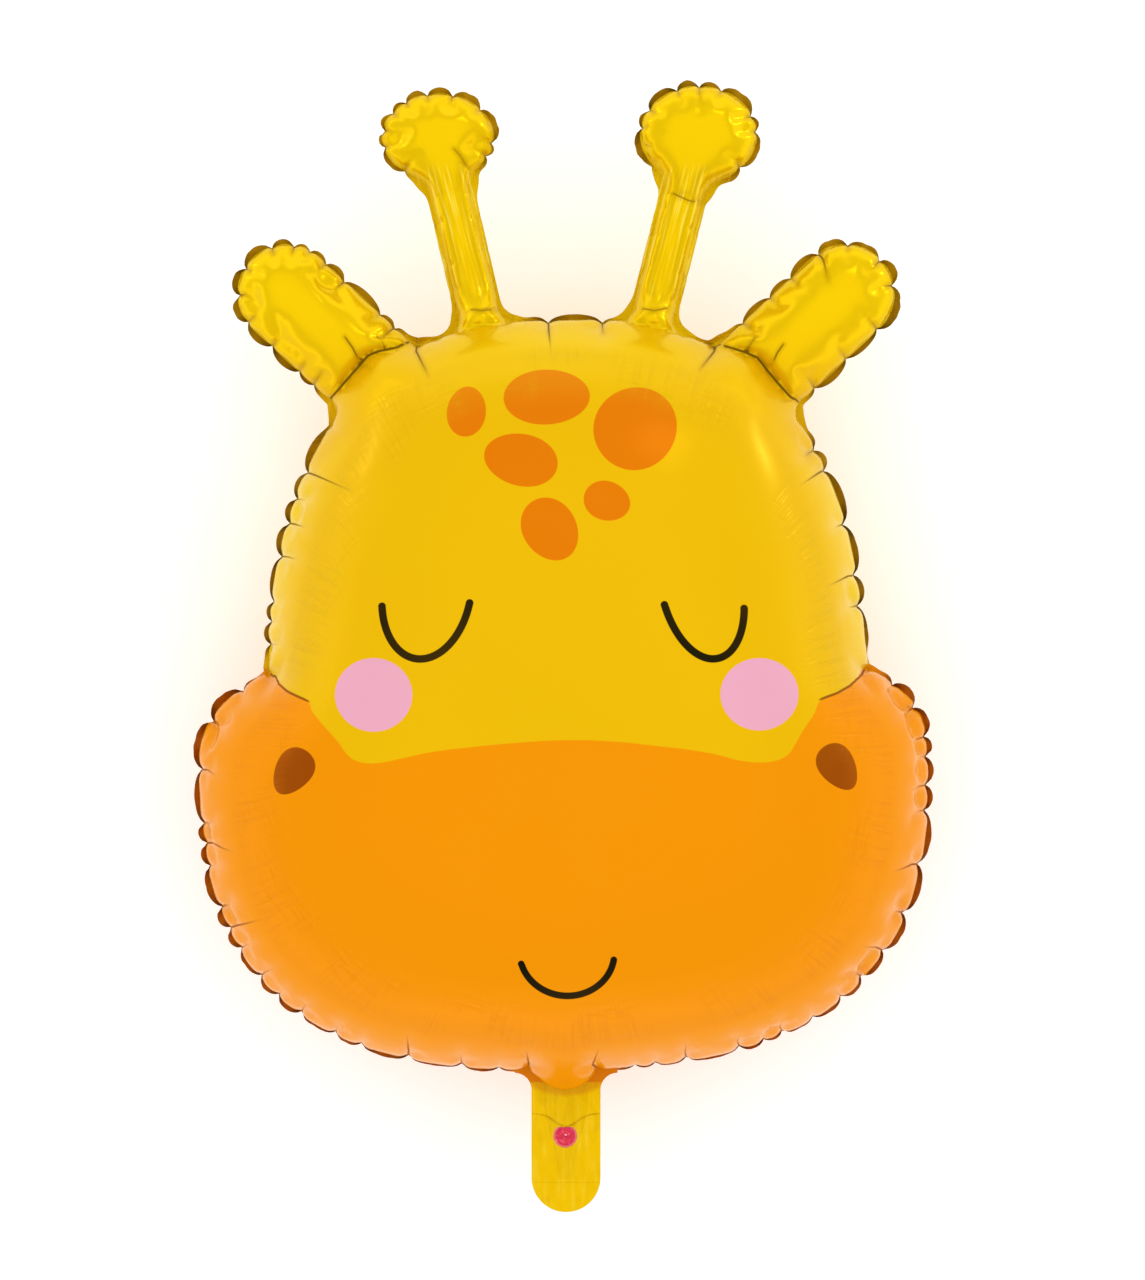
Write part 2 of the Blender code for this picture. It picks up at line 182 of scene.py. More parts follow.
def smooth_min(first, second, softness):
    """The lesser of two distances, rounded where they are close to each other."""
    near = np.maximum(softness - np.abs(first - second), 0.0) / softness
    return np.minimum(first, second) - near * near * softness / 4


def oval(points, middle, half_width, rise, fall, top_power, low_power):
    """Signed distance, roughly, to an oval whose upper and lower halves have their own height and power."""
    x = points[:, 0] - middle[0]
    y = points[:, 1] - middle[1]
    height = np.where(y > 0, rise, fall)
    power = np.where(y > 0, top_power, low_power)
    across = np.abs(x) / half_width
    up = np.abs(y) / height
    radius = np.maximum((across**power + up**power) ** (1 / power), 1e-6)
    slope = radius ** (1 - power)
    gradient = np.hypot(slope * across ** (power - 1) / half_width, slope * up ** (power - 1) / height)
    return (radius - 1) / np.maximum(gradient, 1e-6)


def capsule(points, start, end, radius):
    """Signed distance to a bar with round ends."""
    along = end - start
    share = np.clip((points - start) @ along / (along @ along), 0.0, 1.0)
    return np.linalg.norm(points - start - share[:, None] * along, axis=1) - radius


def head_edge(angle):
    """Point where a ray from the middle of the head, at this angle, meets its outline."""
    across = abs(math.cos(angle)) / HEAD_HALF_WIDTH
    up = abs(math.sin(angle)) / HEAD_RISE
    reach = (across**HEAD_SQUARENESS + up**HEAD_SQUARENESS) ** (-1 / HEAD_SQUARENESS)
    return reach * np.array([math.cos(angle), math.sin(angle)])


def head_top(x):
    """Height of the head's outline over a point x from its middle."""
    return HEAD_RISE * (1 - (abs(x) / HEAD_HALF_WIDTH) ** HEAD_SQUARENESS) ** (1 / HEAD_SQUARENESS)


def ear_axis(side):
    """Where an ear leaves the head, and the middle of its round tip."""
    sign = SIDES[side]
    lean = math.radians(EAR_LEAN_DEG)
    root = head_edge(math.radians(EAR_PLACE_DEG)) * (sign, 1)
    return root, root + EAR_LENGTH * np.array([sign * math.cos(lean), math.sin(lean)])


def horn_axis(side):
    """Where a horn leaves the head, and the middle of its knob."""
    sign = SIDES[side]
    lean = math.radians(HORN_LEAN_DEG[side])
    root = np.array([sign * HORN_ROOT_X, head_top(HORN_ROOT_X)])
    return root, root + HORN_LENGTH[side] * np.array([sign * math.sin(lean), math.cos(lean)])


def limb_frame(points, root, tip):
    """Place of each point along a limb and beside its axis, and how far the limb reaches."""
    reach = np.linalg.norm(tip - root)
    along = (tip - root) / reach
    return (points - root) @ along, (points - root) @ np.array([-along[1], along[0]]), reach


# Lowest point of the muzzle's seam.
CHIN = np.array([0.0, -MUZZLE_DROP - MUZZLE_FALL])


def seam_distance(points):
    """Signed distance, roughly, from the seam: under zero inside it."""
    head = oval(points, (0, 0), HEAD_HALF_WIDTH, HEAD_RISE, HEAD_FALL, HEAD_SQUARENESS, HEAD_SQUARENESS)
    cos, sin = math.cos(math.radians(MUZZLE_TURN_DEG)), math.sin(math.radians(MUZZLE_TURN_DEG))
    x = points[:, 0] - MUZZLE_SHIFT
    y = points[:, 1] + MUZZLE_DROP
    turned = np.stack([x * cos + y * sin, y * cos - x * sin], axis=1)
    powers = MUZZLE_TOP_SQUARENESS, MUZZLE_CHIN_SQUARENESS
    muzzle = oval(turned, (0, 0), MUZZLE_HALF_WIDTH, MUZZLE_RISE, MUZZLE_FALL, *powers)
    whole = smooth_min(head, muzzle, CHEEK_FILLET)
    for side in SIDES:
        root, tip = ear_axis(side)
        inner = root - EAR_HALF_WIDTH * (tip - root) / EAR_LENGTH
        whole = smooth_min(whole, capsule(points, inner, tip, EAR_HALF_WIDTH), EAR_FILLET)
        root, knob = horn_axis(side)
        inner = root - HORN_HALF_WIDTH * (knob - root) / HORN_LENGTH[side]
        stem = capsule(points, inner, knob, HORN_HALF_WIDTH)
        height = KNOB_HALF_HEIGHT[side]
        ball = oval(points, knob, KNOB_HALF_WIDTH[side], height, height, 2.0, 2.0)
        whole = smooth_min(whole, smooth_min(stem, ball, KNOB_FILLET), HORN_FILLET)
    middle = CHIN + (0, TAIL_MOUTH_RADIUS - TAIL_MOUTH_REACH)
    mouth = np.linalg.norm(points - middle, axis=1) - TAIL_MOUTH_RADIUS
    return smooth_min(whole, mouth, MOUTH_FILLET)


def outward(points):
    """Unit directions that lead away from the inside, at each point."""
    step = 1e-5
    shifted = [points + (step, 0), points - (step, 0), points + (0, step), points - (0, step)]
    right, left, up, down = np.split(seam_distance(np.concatenate(shifted)), 4)
    slope = np.stack([right - left, up - down], axis=1)
    return slope / np.maximum(np.linalg.norm(slope, axis=1), 1e-12)[:, None]


def at_level(points, level, rounds=6):
    """Each point moved along the slope to where the distance from the seam is this level."""
    for _ in range(rounds):
        points = points - outward(points) * (seam_distance(points) - level)[:, None]
    return points


def walk_seam():
    """The seam as a close line of points, walked once round from the muzzle's right side."""
    step = 0.005
    point = at_level(np.array([[MUZZLE_HALF_WIDTH, -MUZZLE_DROP]]), 0.0)
    line = [point[0]]
    while len(line) < 20 or np.linalg.norm(line[-1] - line[0]) > step:
        normal = outward(point)[0]
        point = at_level(point + step * np.array([[-normal[1], normal[0]]]), 0.0, 2)
        line.append(point[0])
    return np.array(line + [line[0]])


def travelled_along(line):
    """How far along a line each of its points lies."""
    return np.concatenate([[0], np.cumsum(np.linalg.norm(np.diff(line, axis=0), axis=1))])


def points_at(line, places):
    """Points of a line at these distances from its start."""
    travelled = travelled_along(line)
    return np.stack([np.interp(places, travelled, line[:, axis]) for axis in (0, 1)], axis=1)


def even_seam():
    """Points along the seam at an even spacing, how far each lies from the first, and the seam's length."""
    line = walk_seam()
    length = travelled_along(line)[-1]
    count = round(length / SEAM_STEP)
    points = at_level(points_at(line, np.arange(count) * length / count), 0.0)
    steps = np.linalg.norm(np.roll(points, -1, axis=0) - points, axis=1)
    return points, np.concatenate([[0], np.cumsum(steps)[:-1]]), steps.sum()


def smoothed(values, size):
    """Values round the seam, each averaged with its neighbours."""
    kernel = np.hanning(size)
    spread = np.convolve(np.tile(values, 3), kernel / kernel.sum(), "same")
    return spread[len(values) : 2 * len(values)]


def seam_curvature(points, length):
    """Curvature along the seam, smoothed over a few centimetres: above zero where it bows outwards."""
    ahead = np.roll(points, -1, axis=0) - points
    angle = np.unwrap(np.arctan2(ahead[:, 1], ahead[:, 0]))
    turn = np.roll(angle, -1) - angle
    turn[-1] += 2 * math.pi
    turn = (turn + math.pi) % (2 * math.pi) - math.pi
    step = length / len(points)
    return smoothed(turn, 2 * round(0.012 / step) + 3) / step


def nearest_segment(points, low, high):
    """Distance from each point to the nearest of these segments, its number, and the share of it passed."""
    along = high - low
    square = np.maximum((along**2).sum(1), 1e-18)
    found = []
    for chunk in np.array_split(points, 1 + len(points) // 1500):
        x = chunk[:, 0, None] - low[:, 0]
        y = chunk[:, 1, None] - low[:, 1]
        share = np.clip((x * along[:, 0] + y * along[:, 1]) / square, 0, 1)
        gap = np.hypot(x - share * along[:, 0], y - share * along[:, 1])
        best = gap.argmin(1)
        rows = np.arange(len(chunk))
        found.append((gap[rows, best], best, share[rows, best]))
    return [np.concatenate(part) for part in zip(*found)]


def line_distance(points, line):
    """Distance of each point from a closed line of points."""
    return nearest_segment(points, line, np.roll(line, -1, axis=0))[0]


def staggered(low, high, pitch, row_pitch):
    """Points in rows between two corners, with every other row moved by half the pitch."""
    x, y = np.meshgrid(np.arange(low[0], high[0], pitch), np.arange(low[1], high[1], row_pitch))
    x = x + np.where(np.arange(len(x)) % 2, pitch / 2, 0)[:, None]
    return np.stack([x.ravel(), y.ravel()], axis=1)


def deep_points(seam):
    """Points for the inside, in staggered rows that are wider apart the deeper they lie."""
    low, high = seam.min(0), seam.max(0)
    found = []
    for pitch, nearest, furthest in GRIDS:
        points = staggered(low - (pitch, 0), high + (pitch, 0), pitch, pitch * math.sqrt(3) / 2)
        rough = seam_distance(points)
        points = points[(rough < -nearest / 2) & (rough > -3 * furthest)]
        gap = line_distance(points, seam[::3])
        found.append(points[(gap > nearest) & (gap <= furthest)])
    return np.concatenate(found)


def inner_net(rings, lines):
    """The flat net inside the seam: its points and its triangles. Its first rings follow the seam."""
    apart = 0.0012
    count = len(rings[0])
    triangles = []
    for ring in range(len(INNER_RINGS)):
        outer = ring * count + np.arange(count)
        inner = outer + count
        after = np.roll(outer, -1), np.roll(inner, -1)
        triangles += [np.stack([outer, after[0], after[1]], 1), np.stack([outer, after[1], inner], 1)]
    on_lines = np.concatenate([line[0] for line in lines])
    on_lines = on_lines[seam_distance(on_lines) < -INNER_RINGS[-1] - apart]
    kept = []
    for point in on_lines:
        if not kept or np.hypot(*(np.array(kept) - point).T).min() > apart:
            kept.append(point)
    on_lines = np.array(kept)
    deep = deep_points(rings[0])
    near = []
    for part in np.array_split(deep, 12):
        near.append(np.hypot(*(part[:, None] - on_lines).transpose(2, 0, 1)).min(1))
    loose = np.concatenate([rings[-1], on_lines, deep[np.concatenate(near) > 0.0021]])
    made = delaunay_2d_cdt([Vector(point) for point in loose], [], [list(range(count))], 1, 1e-7)
    origin = np.array([min(source) for source in made[3]])
    triangles.append(origin[np.array(made[2])] + (len(rings) - 1) * count)
    return np.concatenate(rings[:-1] + [loose]), np.concatenate(triangles)


def corner_weights(points, triangles):
    """Pairs of points with their stiffness, and the share of area that each point carries."""
    corners = points[triangles]
    pairs, weights = [], []
    load = np.zeros(len(points))
    for here in range(3):
        to_b = corners[:, (here + 1) % 3] - corners[:, here]
        to_c = corners[:, (here + 2) % 3] - corners[:, here]
        double_area = np.abs(to_b[:, 0] * to_c[:, 1] - to_b[:, 1] * to_c[:, 0])
        weights.append((to_b * to_c).sum(1) / np.maximum(double_area, 1e-12) / 2)
        pairs.append(np.stack([triangles[:, (here + 1) % 3], triangles[:, (here + 2) % 3]], 1))
        load += np.bincount(triangles[:, here], double_area / 6, len(points))
    return np.concatenate(pairs), np.concatenate(weights), load


def skin_height(points, triangles, fixed):
    """Height of a skin stretched over the net and pushed up evenly, with its first points held at zero."""
    pairs, weights, load = corner_weights(points, triangles)
    count = len(points)
    first, second = pairs[:, 0], pairs[:, 1]
    diagonal = np.bincount(first, weights, count) + np.bincount(second, weights, count)
    free = np.arange(count) >= fixed
    height = np.zeros(count)
    residual = load * free
    guide = residual / diagonal
    search = guide.copy()
    energy = residual @ guide
    for _ in range(900):
        pull = weights * (search[first] - search[second])
        pushed = (np.bincount(first, pull, count) - np.bincount(second, pull, count)) * free
        step = energy / (search @ pushed)
        height += step * search
        residual -= step * pushed
        guide = residual / diagonal
        fresh = residual @ guide
        if fresh < 1e-13 * energy and fresh < 1e-16:
            break
        search = guide + fresh / energy * search
        energy = fresh
    return np.maximum(height, 0)


def root_creases(points):
    """Factor that dips the puffed height where an ear or a horn leaves the head, and along the horns."""
    factor = np.ones(len(points))
    ear_folds = [np.array(fold[1:]) for fold in FOLDS[:2]]
    to_fold = np.minimum(*(line_distance(points, np.concatenate([fold, fold[::-1]])) for fold in ear_folds))
    for side in SIDES:
        beside = np.abs(limb_frame(points, *ear_axis(side))[1])
        close = np.clip((1.7 * EAR_HALF_WIDTH - beside) / (0.6 * EAR_HALF_WIDTH), 0, 1)
        factor *= 1 - EAR_GROOVE * close * np.exp(-np.abs(to_fold) / 0.012)
        distance, beside, reach = limb_frame(points, *horn_axis(side))
        off = np.abs(beside)
        close = np.clip((1.7 * HORN_HALF_WIDTH - off) / (0.6 * HORN_HALF_WIDTH), 0, 1)
        factor *= 1 - HORN_GROOVE * close * np.exp(-np.abs(distance) / 0.006)
        neck = reach - KNOB_HALF_HEIGHT[side] - 0.016
        on_stem = np.clip((1.5 * HORN_HALF_WIDTH - off) / (0.3 * HORN_HALF_WIDTH), 0, 1)
        factor *= 1 - NECK_GROOVE[side] * on_stem * np.exp(-np.abs(distance - neck) / 0.003)
        stem = on_stem * np.clip((distance - 0.004) / 0.01, 0, 1) * np.clip((neck - distance) / 0.012, 0, 1)
        for fold in (-0.42, 0.36):
            factor *= 1 - 0.07 * stem * np.exp(-np.abs(beside / HORN_HALF_WIDTH - fold) / 0.10)
    return factor


def stem_share(points):
    """1 along the straight part of a horn, 0 elsewhere."""
    share = np.zeros(len(points))
    for side in SIDES:
        distance, beside, reach = limb_frame(points, *horn_axis(side))
        neck = reach - KNOB_HALF_HEIGHT[side]
        inside = np.clip((distance - 0.004) / 0.006, 0, 1) * np.clip((neck - distance) / 0.006, 0, 1)
        share = np.maximum(share, inside * (np.abs(beside) < 2 * HORN_HALF_WIDTH))
    return share


def meets_fold(place):
    """Whether a crease that ends here goes on as one of the folds."""
    return place is not None and min(math.dist(place, fold[1]) for fold in FOLDS) < 0.002


def gathers(seam, travelled, length, curvature):
    """Seam points where the foil is gathered, with the depth, reach and end of the crease at each."""
    rng = np.random.default_rng(11)
    count = len(seam)
    places = []
    at = 0.0
    while at < length:
        places.append(at)
        round_share = np.clip(np.interp(at, travelled, curvature) / 14, 0, 1)
        pitch = GATHER_PITCH + (GATHER_PITCH_ROUND - GATHER_PITCH) * round_share
        at += pitch * (1 + GATHER_VARIATION * rng.uniform(-1, 1))
    places = np.array(places) * length / at
    at_point = np.round(places / length * count).astype(int) % count
    at_x, at_y = seam[at_point].T
    on_knob = at_y > KNOBS_Y
    depth = GATHER_DEPTH * rng.uniform(0.5, 1.3, len(places))
    depth *= np.where(curvature[at_point] < -1.5, 0.15, 1.0) * (1 - 0.8 * stem_share(seam[at_point]))
    depth *= 1 - 0.45 * np.clip((LOW_MUZZLE_Y - at_y) / 0.05, 0, 1)
    depth *= np.where(on_knob, 0.75, 1.0)
    reach = GATHER_REACH * rng.uniform(0.6, 1.5, len(places)) * np.where(on_knob, 0.7, 1.0)
    by_mouth = (np.abs(at_x) < TAIL_MOUTH_HALF_WIDTH) & (at_y < CHIN[1] + 0.01)
    chosen = {int(i): (d, r, None) for i, d, r, skip in zip(at_point, depth, reach, by_mouth) if not skip}
    for x, y, end_x, end_y in LONG_CREASES:
        start = int(np.hypot(seam[:, 0] - x, seam[:, 1] - y).argmin())
        for other in list(chosen):
            if min(abs(other - start), count - abs(other - start)) < 7 and chosen[other][2] is None:
                del chosen[other]
        run = math.hypot(end_x - x, end_y - y)
        deep = FOLD_DEPTH if meets_fold((end_x, end_y)) else LONG_DEPTH * min(max(run / 0.028, 0.5), 1.0)
        chosen[start] = (deep, run, (end_x, end_y))
    return sorted((i, *facts) for i, facts in chosen.items())


def crease_lines(rings, gathered):
    """Each crease as close points, with how deep it is at each and how far it shortens the foil there."""
    rng = np.random.default_rng(5)
    lines = []
    for start, depth, reach, end in gathered:
        path = [ring[start] for ring in rings]
        ahead = path[-1] - path[-2]
        ahead /= np.linalg.norm(ahead)
        slant = rng.uniform(-0.25, 0.25)
        turned = np.array([ahead[0] - slant * ahead[1], ahead[1] + slant * ahead[0]])
        target = np.array(end) if end else path[-1] + turned * max(reach - INNER_RINGS[-1], 0.001)
        steps = max(1, round(np.linalg.norm(target - path[-1]) / CREASE_STEP))
        first = path[-1]
        path += [first + (target - first) * (step + 1) / steps for step in range(steps)]
        path = np.array(path)
        fade = np.ones(len(path)) if meets_fold(end) else 1 - np.arange(len(path)) / (len(path) - 1)
        lines.append((path, depth * fade**0.7, depth / reach * 1.2 * np.sqrt(fade)))
    for depth, *corners in FOLDS:
        corners = np.array(corners)
        length = travelled_along(corners)[-1]
        places = np.linspace(0, length, max(3, round(length / CREASE_STEP)))
        share = places / length
        at_seam = seam_distance(corners[[0, -1]]) > -0.025
        rise, fall = np.clip(5 * share + 0.25, 0, 1), np.clip(5 * (1 - share) + 0.25, 0, 1)
        fade = np.minimum(np.maximum(rise, at_seam[0]), np.maximum(fall, at_seam[1]))
        lines.append((points_at(corners, places), depth * fade, np.zeros(len(places))))
    return lines


def segment_ends(lines):
    """What some lines hold at the start and at the end of each of their segments."""
    return np.concatenate([line[:-1] for line in lines]), np.concatenate([line[1:] for line in lines])


def nearest_crease(points, lines):
    """Distance of each point from the nearest crease, and that crease's depth and shortening there."""
    paths, depths, shortenings = zip(*lines)
    gap, best, share = nearest_segment(points, *segment_ends(paths))
    facts = [gap]
    for values in (depths, shortenings):
        first, last = segment_ends(values)
        facts.append(first[best] * (1 - share) + last[best] * share)
    return facts


def unique_edges(triangles):
    """Edges of a set of triangles, and for each edge with two triangles the corners that face it."""
    raw = np.concatenate([triangles[:, [0, 1]], triangles[:, [1, 2]], triangles[:, [2, 0]]])
    across = np.concatenate([triangles[:, 2], triangles[:, 0], triangles[:, 1]])
    raw = np.sort(raw, axis=1)
    key = raw[:, 0].astype(np.int64) * (triangles.max() + 1) + raw[:, 1]
    order = np.argsort(key, kind="stable")
    key, raw, across = key[order], raw[order], across[order]
    starts = np.flatnonzero(np.concatenate([[True], key[1:] != key[:-1]]))
    sizes = np.diff(np.append(starts, len(key)))
    double = starts[sizes == 2]
    return raw[starts], np.stack([across[double], across[double + 1]], 1)


def rest_lengths(pairs, foils):
    """Length that the foil was cut to between each pair of points."""
    a, b = pairs[:, 0], pairs[:, 1]
    edge = foils.start[b] - foils.start[a]
    direction = foils.hoop[a] + foils.hoop[b]
    direction /= np.maximum(np.linalg.norm(direction, axis=1), 1e-9)[:, None]
    round_part = (edge * direction).sum(1)
    inward = np.maximum((edge**2).sum(1) - round_part**2, 0)
    more = 1 + (foils.excess[a] + foils.excess[b]) / 2
    less = 1 - (foils.shortening[a] + foils.shortening[b]) / 2
    return np.sqrt((round_part * more) ** 2 + inward * less**2)


def rim_shape(seam, travelled, length, curvature, places):
    """Share of its scallop that each seam point has passed, how straight the rim is there, and its width."""
    rng = np.random.default_rng(17)
    lobe = (np.searchsorted(places, travelled, side="right") - 1) % len(places)
    lobe_length = (np.roll(places, -1) - places) % length
    share = ((travelled - places[lobe]) % length) / lobe_length[lobe]
    size = (RIM_REACH * rng.uniform(0.70, 1.10, len(places)) * np.clip(lobe_length / 0.022, 0.5, 1.1))[lobe]
    low_muzzle = np.clip((-0.20 - seam[:, 1]) / 0.08, 0, 1)
    size *= 1 - 0.42 * low_muzzle - 0.14 * np.clip((seam[:, 1] - 0.24) / 0.03, 0, 1)
    scallop = RIM_NECK + (size - RIM_NECK) * np.sin(math.pi * share) ** 0.62
    straight = np.maximum(np.clip((-1.5 - curvature) / 3.0, 0, 1), stem_share(seam))
    gusset = np.clip((-curvature - 12) / 25, 0, 1) * RIM_GUSSET
    flat_width = np.minimum(RIM_STRAIGHT + gusset, 0.62 / np.maximum(-curvature, 1.0))
    straight, flat_width = smoothed(straight, 11), smoothed(flat_width, 11)
    return share, straight, scallop + (flat_width - scallop) * straight


class Foils:
    """Both foils and their weld rim as one net of points, with what the simulation needs to know."""

    def __init__(self, floor):
        seam, travelled, length = even_seam()
        curvature = seam_curvature(seam, length)
        rings = [seam] + [at_level(seam, -inset, 4) for inset in INNER_RINGS]
        gathered = gathers(seam, travelled, length, curvature)
        lines = crease_lines(rings, gathered)
        net, triangles = inner_net(rings, lines)
        count, total = len(seam), len(net)
        skin = skin_height(net, triangles, count)
        height = PUFF_HEIGHT * np.sqrt(skin) * root_creases(net)
        self.count, self.length, self.floor = count, length, floor
        self.gather_places = np.array([travelled[facts[0]] for facts in gathered])
        share, straight, width = rim_shape(seam, travelled, length, curvature, self.gather_places)
        over_tail = (np.abs(seam[:, 0]) < TAIL_ROOT_HALF_WIDTH) & (seam[:, 1] < CHIN[1] + 0.002)
        width = np.where(over_tail, RIM_OVER_TAIL, width)
        straight = np.where(over_tail, 1.0, straight)
        rims = [seam]
        for part in np.diff((0.0,) + RIM_SHARES):
            rims.append(rims[-1] + outward(rims[-1]) * (width * part)[:, None])

        def whole(front, rim):
            """Values of all points: the front's, the same for the back, and those of the rim's rings."""
            return np.concatenate([front, front[count:]] + rim)

        rim_parts = len(RIM_SHARES)
        zero = np.zeros(count)
        self.flat = whole(net, rims[1:])
        z = np.concatenate([height, -np.minimum(height, floor)[count:]] + [zero] * rim_parts)
        self.start = np.column_stack([self.flat, z])
        self.front = triangles
        self.back = np.where(triangles < count, triangles, triangles - count + total)[:, ::-1]
        here = np.arange(count)
        rim_triangles = []
        ring_start = [0] + [2 * total - count + ring * count for ring in range(rim_parts)]
        for inner, outer in zip(ring_start[:-1], ring_start[1:]):
            a, b = inner + here, inner + np.roll(here, -1)
            c, d = outer + here, outer + np.roll(here, -1)
            rim_triangles += [np.stack([a, c, d], 1), np.stack([a, d, b], 1)]
        self.rim = np.concatenate(rim_triangles)

        ends = np.roll(seam, -1, axis=0)
        gap, best, passed = nearest_segment(net, seam, ends)
        place = (travelled[best] + passed * np.sqrt(((ends - seam) ** 2).sum(1))[best]) % length
        self.place = whole(place, [travelled] * rim_parts)
        self.inward = whole(np.hypot(gap, height), [-width * part for part in RIM_SHARES])
        self.away = outward(self.flat)
        self.hoop = np.column_stack([-self.away[:, 1], self.away[:, 0], np.zeros(len(self.flat))])
        self.set_slack(skin, travelled, curvature, over_tail)

        off, deep, shorter = nearest_crease(net, lines)
        close = np.exp(-((off / GATHER_WIDTH) ** 1.5))
        self.push = whole(deep * close, [(deep * close)[:count]] * rim_parts)
        self.shortening = np.clip(whole(shorter * close, [zero] * rim_parts), 0, 0.5)
        deep = whole(np.clip(deep / LONG_DEPTH, 0, 1.4), [zero] * rim_parts)
        self.fold_layer = np.column_stack([whole(off, [zero + 0.01] * rim_parts), deep])
        bend = np.abs(2 * share - 1)
        ends = whole(np.concatenate([bend, np.zeros(total - count)]), [bend] * rim_parts)
        self.lobe_layer = np.column_stack([ends, np.interp(self.place, travelled, straight)])

    def set_slack(self, skin, travelled, curvature, over_tail):
        """How much more foil there is along the seam at each point than the puffed shape takes up."""
        ring = 2
        slope = skin[ring * self.count : (ring + 1) * self.count] / INNER_RINGS[ring - 1]
        bow = np.maximum(curvature, 0)
        seam_slack = smoothed(np.clip(0.09 * (1.6 * slope) * bow, LEAST_SLACK, MOST_SLACK), 15)
        seam_slack = np.where(over_tail, LEAST_SLACK, seam_slack)
        slack = np.interp(self.place, travelled, seam_slack)
        inside = np.maximum(self.inward, 0)
        near = 0.85 * np.exp(-inside / 0.018) + 0.15 * np.exp(-inside / 0.07)
        on_rim = slack - np.interp(self.place, travelled, bow) * self.inward
        self.excess = np.where(self.inward >= 0, slack * near, on_rim)


def face_areas(points, triangles):
    """Area vector of each triangle."""
    a, b, c = (points[triangles[:, corner]] for corner in range(3))
    return np.cross(b - a, c - a) / 2


def creased_start(foils, skins):
    """The puffed start with the creases pushed in, and with the lobes of the rim bowed up or down."""
    start = foils.start
    normal = np.zeros(start.shape)
    areas = face_areas(start, skins)
    for axis in range(3):
        for corner in range(3):
            normal[:, axis] += np.bincount(skins[:, corner], areas[:, axis], len(start))
    normal /= np.maximum(np.linalg.norm(normal, axis=1), 1e-12)[:, None]
    place = start - normal * foils.push[:, None]
    rim = foils.inward < 0
    on_edge = rim.copy()
    on_edge[: foils.count] = True
    away = np.column_stack([foils.away[on_edge], np.zeros(on_edge.sum())])
    place[on_edge] = start[on_edge] - away * foils.push[on_edge, None]
    rim[: foils.count] = False
    rng = np.random.default_rng(3)
    lobes = np.searchsorted(foils.gather_places, foils.place, side="right")
    side = np.where(rng.random(len(foils.gather_places) + 1) < 0.68, -1.0, 1.0)[lobes]
    bounds = np.append(np.append(foils.gather_places, foils.length), foils.length)
    low = bounds[np.maximum(lobes - 1, 0)]
    share = (foils.place - low) / np.maximum(bounds[lobes] - low, 1e-6)
    bow = np.sin(math.pi * np.clip(share, 0, 1))
    place[rim, 2] += (side * bow * -foils.inward)[rim] * 0.45
    return place, rim


def fill_with_gas(foils):
    """Positions of the net once pressure has taken up the slack foil and bending has rounded it."""
    count = len(foils.start)
    pairs, pull, shove = [], [], []
    groups = ((foils.front, SKIN_PUSH), (foils.back, SKIN_PUSH), (foils.rim, RIM_PUSH))
    for triangles, (squeeze, bending) in groups:
        edges, facing = unique_edges(triangles)
        for chosen, stretch, press in ((edges, FOIL_PULL, squeeze), (facing, 0.0, bending)):
            pairs.append(chosen)
            pull.append(np.full(len(chosen), stretch))
            shove.append(np.full(len(chosen), press))
    rest = np.concatenate([rest_lengths(chosen, foils) for chosen in pairs])
    pairs, pull, shove = map(np.concatenate, (pairs, pull, shove))
    first, second = np.ascontiguousarray(pairs[:, 0]), np.ascontiguousarray(pairs[:, 1])
    skins = np.concatenate([foils.front, foils.back])
    place, rim = creased_start(foils, skins)
    place = place.T.copy()
    goal = place.copy()
    home = foils.start.T
    speed, gas = np.zeros((3, count)), np.zeros((3, count))
    hold = 0.0008 * np.clip((foils.inward - 0.03) / 0.05, 0, 1)
    hold_seam = np.where(rim, 0.004, 0.0)
    hold_seam[: foils.count] = 0.02
    holds = (hold_seam, hold_seam, np.zeros(count))
    a, b, c = (skins[:, corner] for corner in range(3))
    for step in range(ROUNDS):
        if step % GAS_ROUNDS == 0:
            one = [row[b] - row[a] for row in place]
            two = [row[c] - row[a] for row in place]
            for axis in range(3):
                after, last = (axis + 1) % 3, (axis + 2) % 3
                part = (one[after] * two[last] - one[last] * two[after]) * (GAS_PRESSURE / 6)
                gas[axis] = sum(np.bincount(corner, part, count) for corner in (a, b, c))
        gaps = [row[second] - row[first] for row in place]
        size = np.sqrt(gaps[0] * gaps[0] + gaps[1] * gaps[1] + gaps[2] * gaps[2])
        longer = size - rest
        force = np.where(longer > 0, pull, shove) * longer / np.maximum(size, 1e-9)
        for axis in range(3):
            part = gaps[axis] * force
            drawn = np.bincount(first, part, count) - np.bincount(second, part, count)
            moved = speed[axis] + drawn + gas[axis]
            moved -= hold * (place[axis] - home[axis])
            moved -= holds[axis] * (place[axis] - goal[axis])
            speed[axis] = KEPT_SPEED * moved
        place += speed
        np.maximum(place[2], -foils.floor, out=place[2])
    return place.T.copy()


def mesh_object(name, points, triangles, flat, material, layers=None):
    """A smooth mesh of these triangles, with the place of each corner in the print and in other layers."""
    used = np.unique(triangles)
    fresh = np.full(len(points), -1)
    fresh[used] = np.arange(len(used))
    faces = fresh[triangles]
    mesh = bpy.data.meshes.new(name)
    mesh.from_pydata(points[used].tolist(), [], faces.tolist())
    for layer_name, values in {"print": flat, **(layers or {})}.items():
        layer = mesh.uv_layers.new(name=layer_name)
        corners = values[used][faces.ravel()]
        layer.data.foreach_set("uv", corners.astype(np.float32).ravel())
    mesh.shade_smooth()
    mesh.update()
    piece = bpy.data.objects.new(name, mesh)
    bpy.context.collection.objects.link(piece)
    mesh.materials.append(material)
    return piece


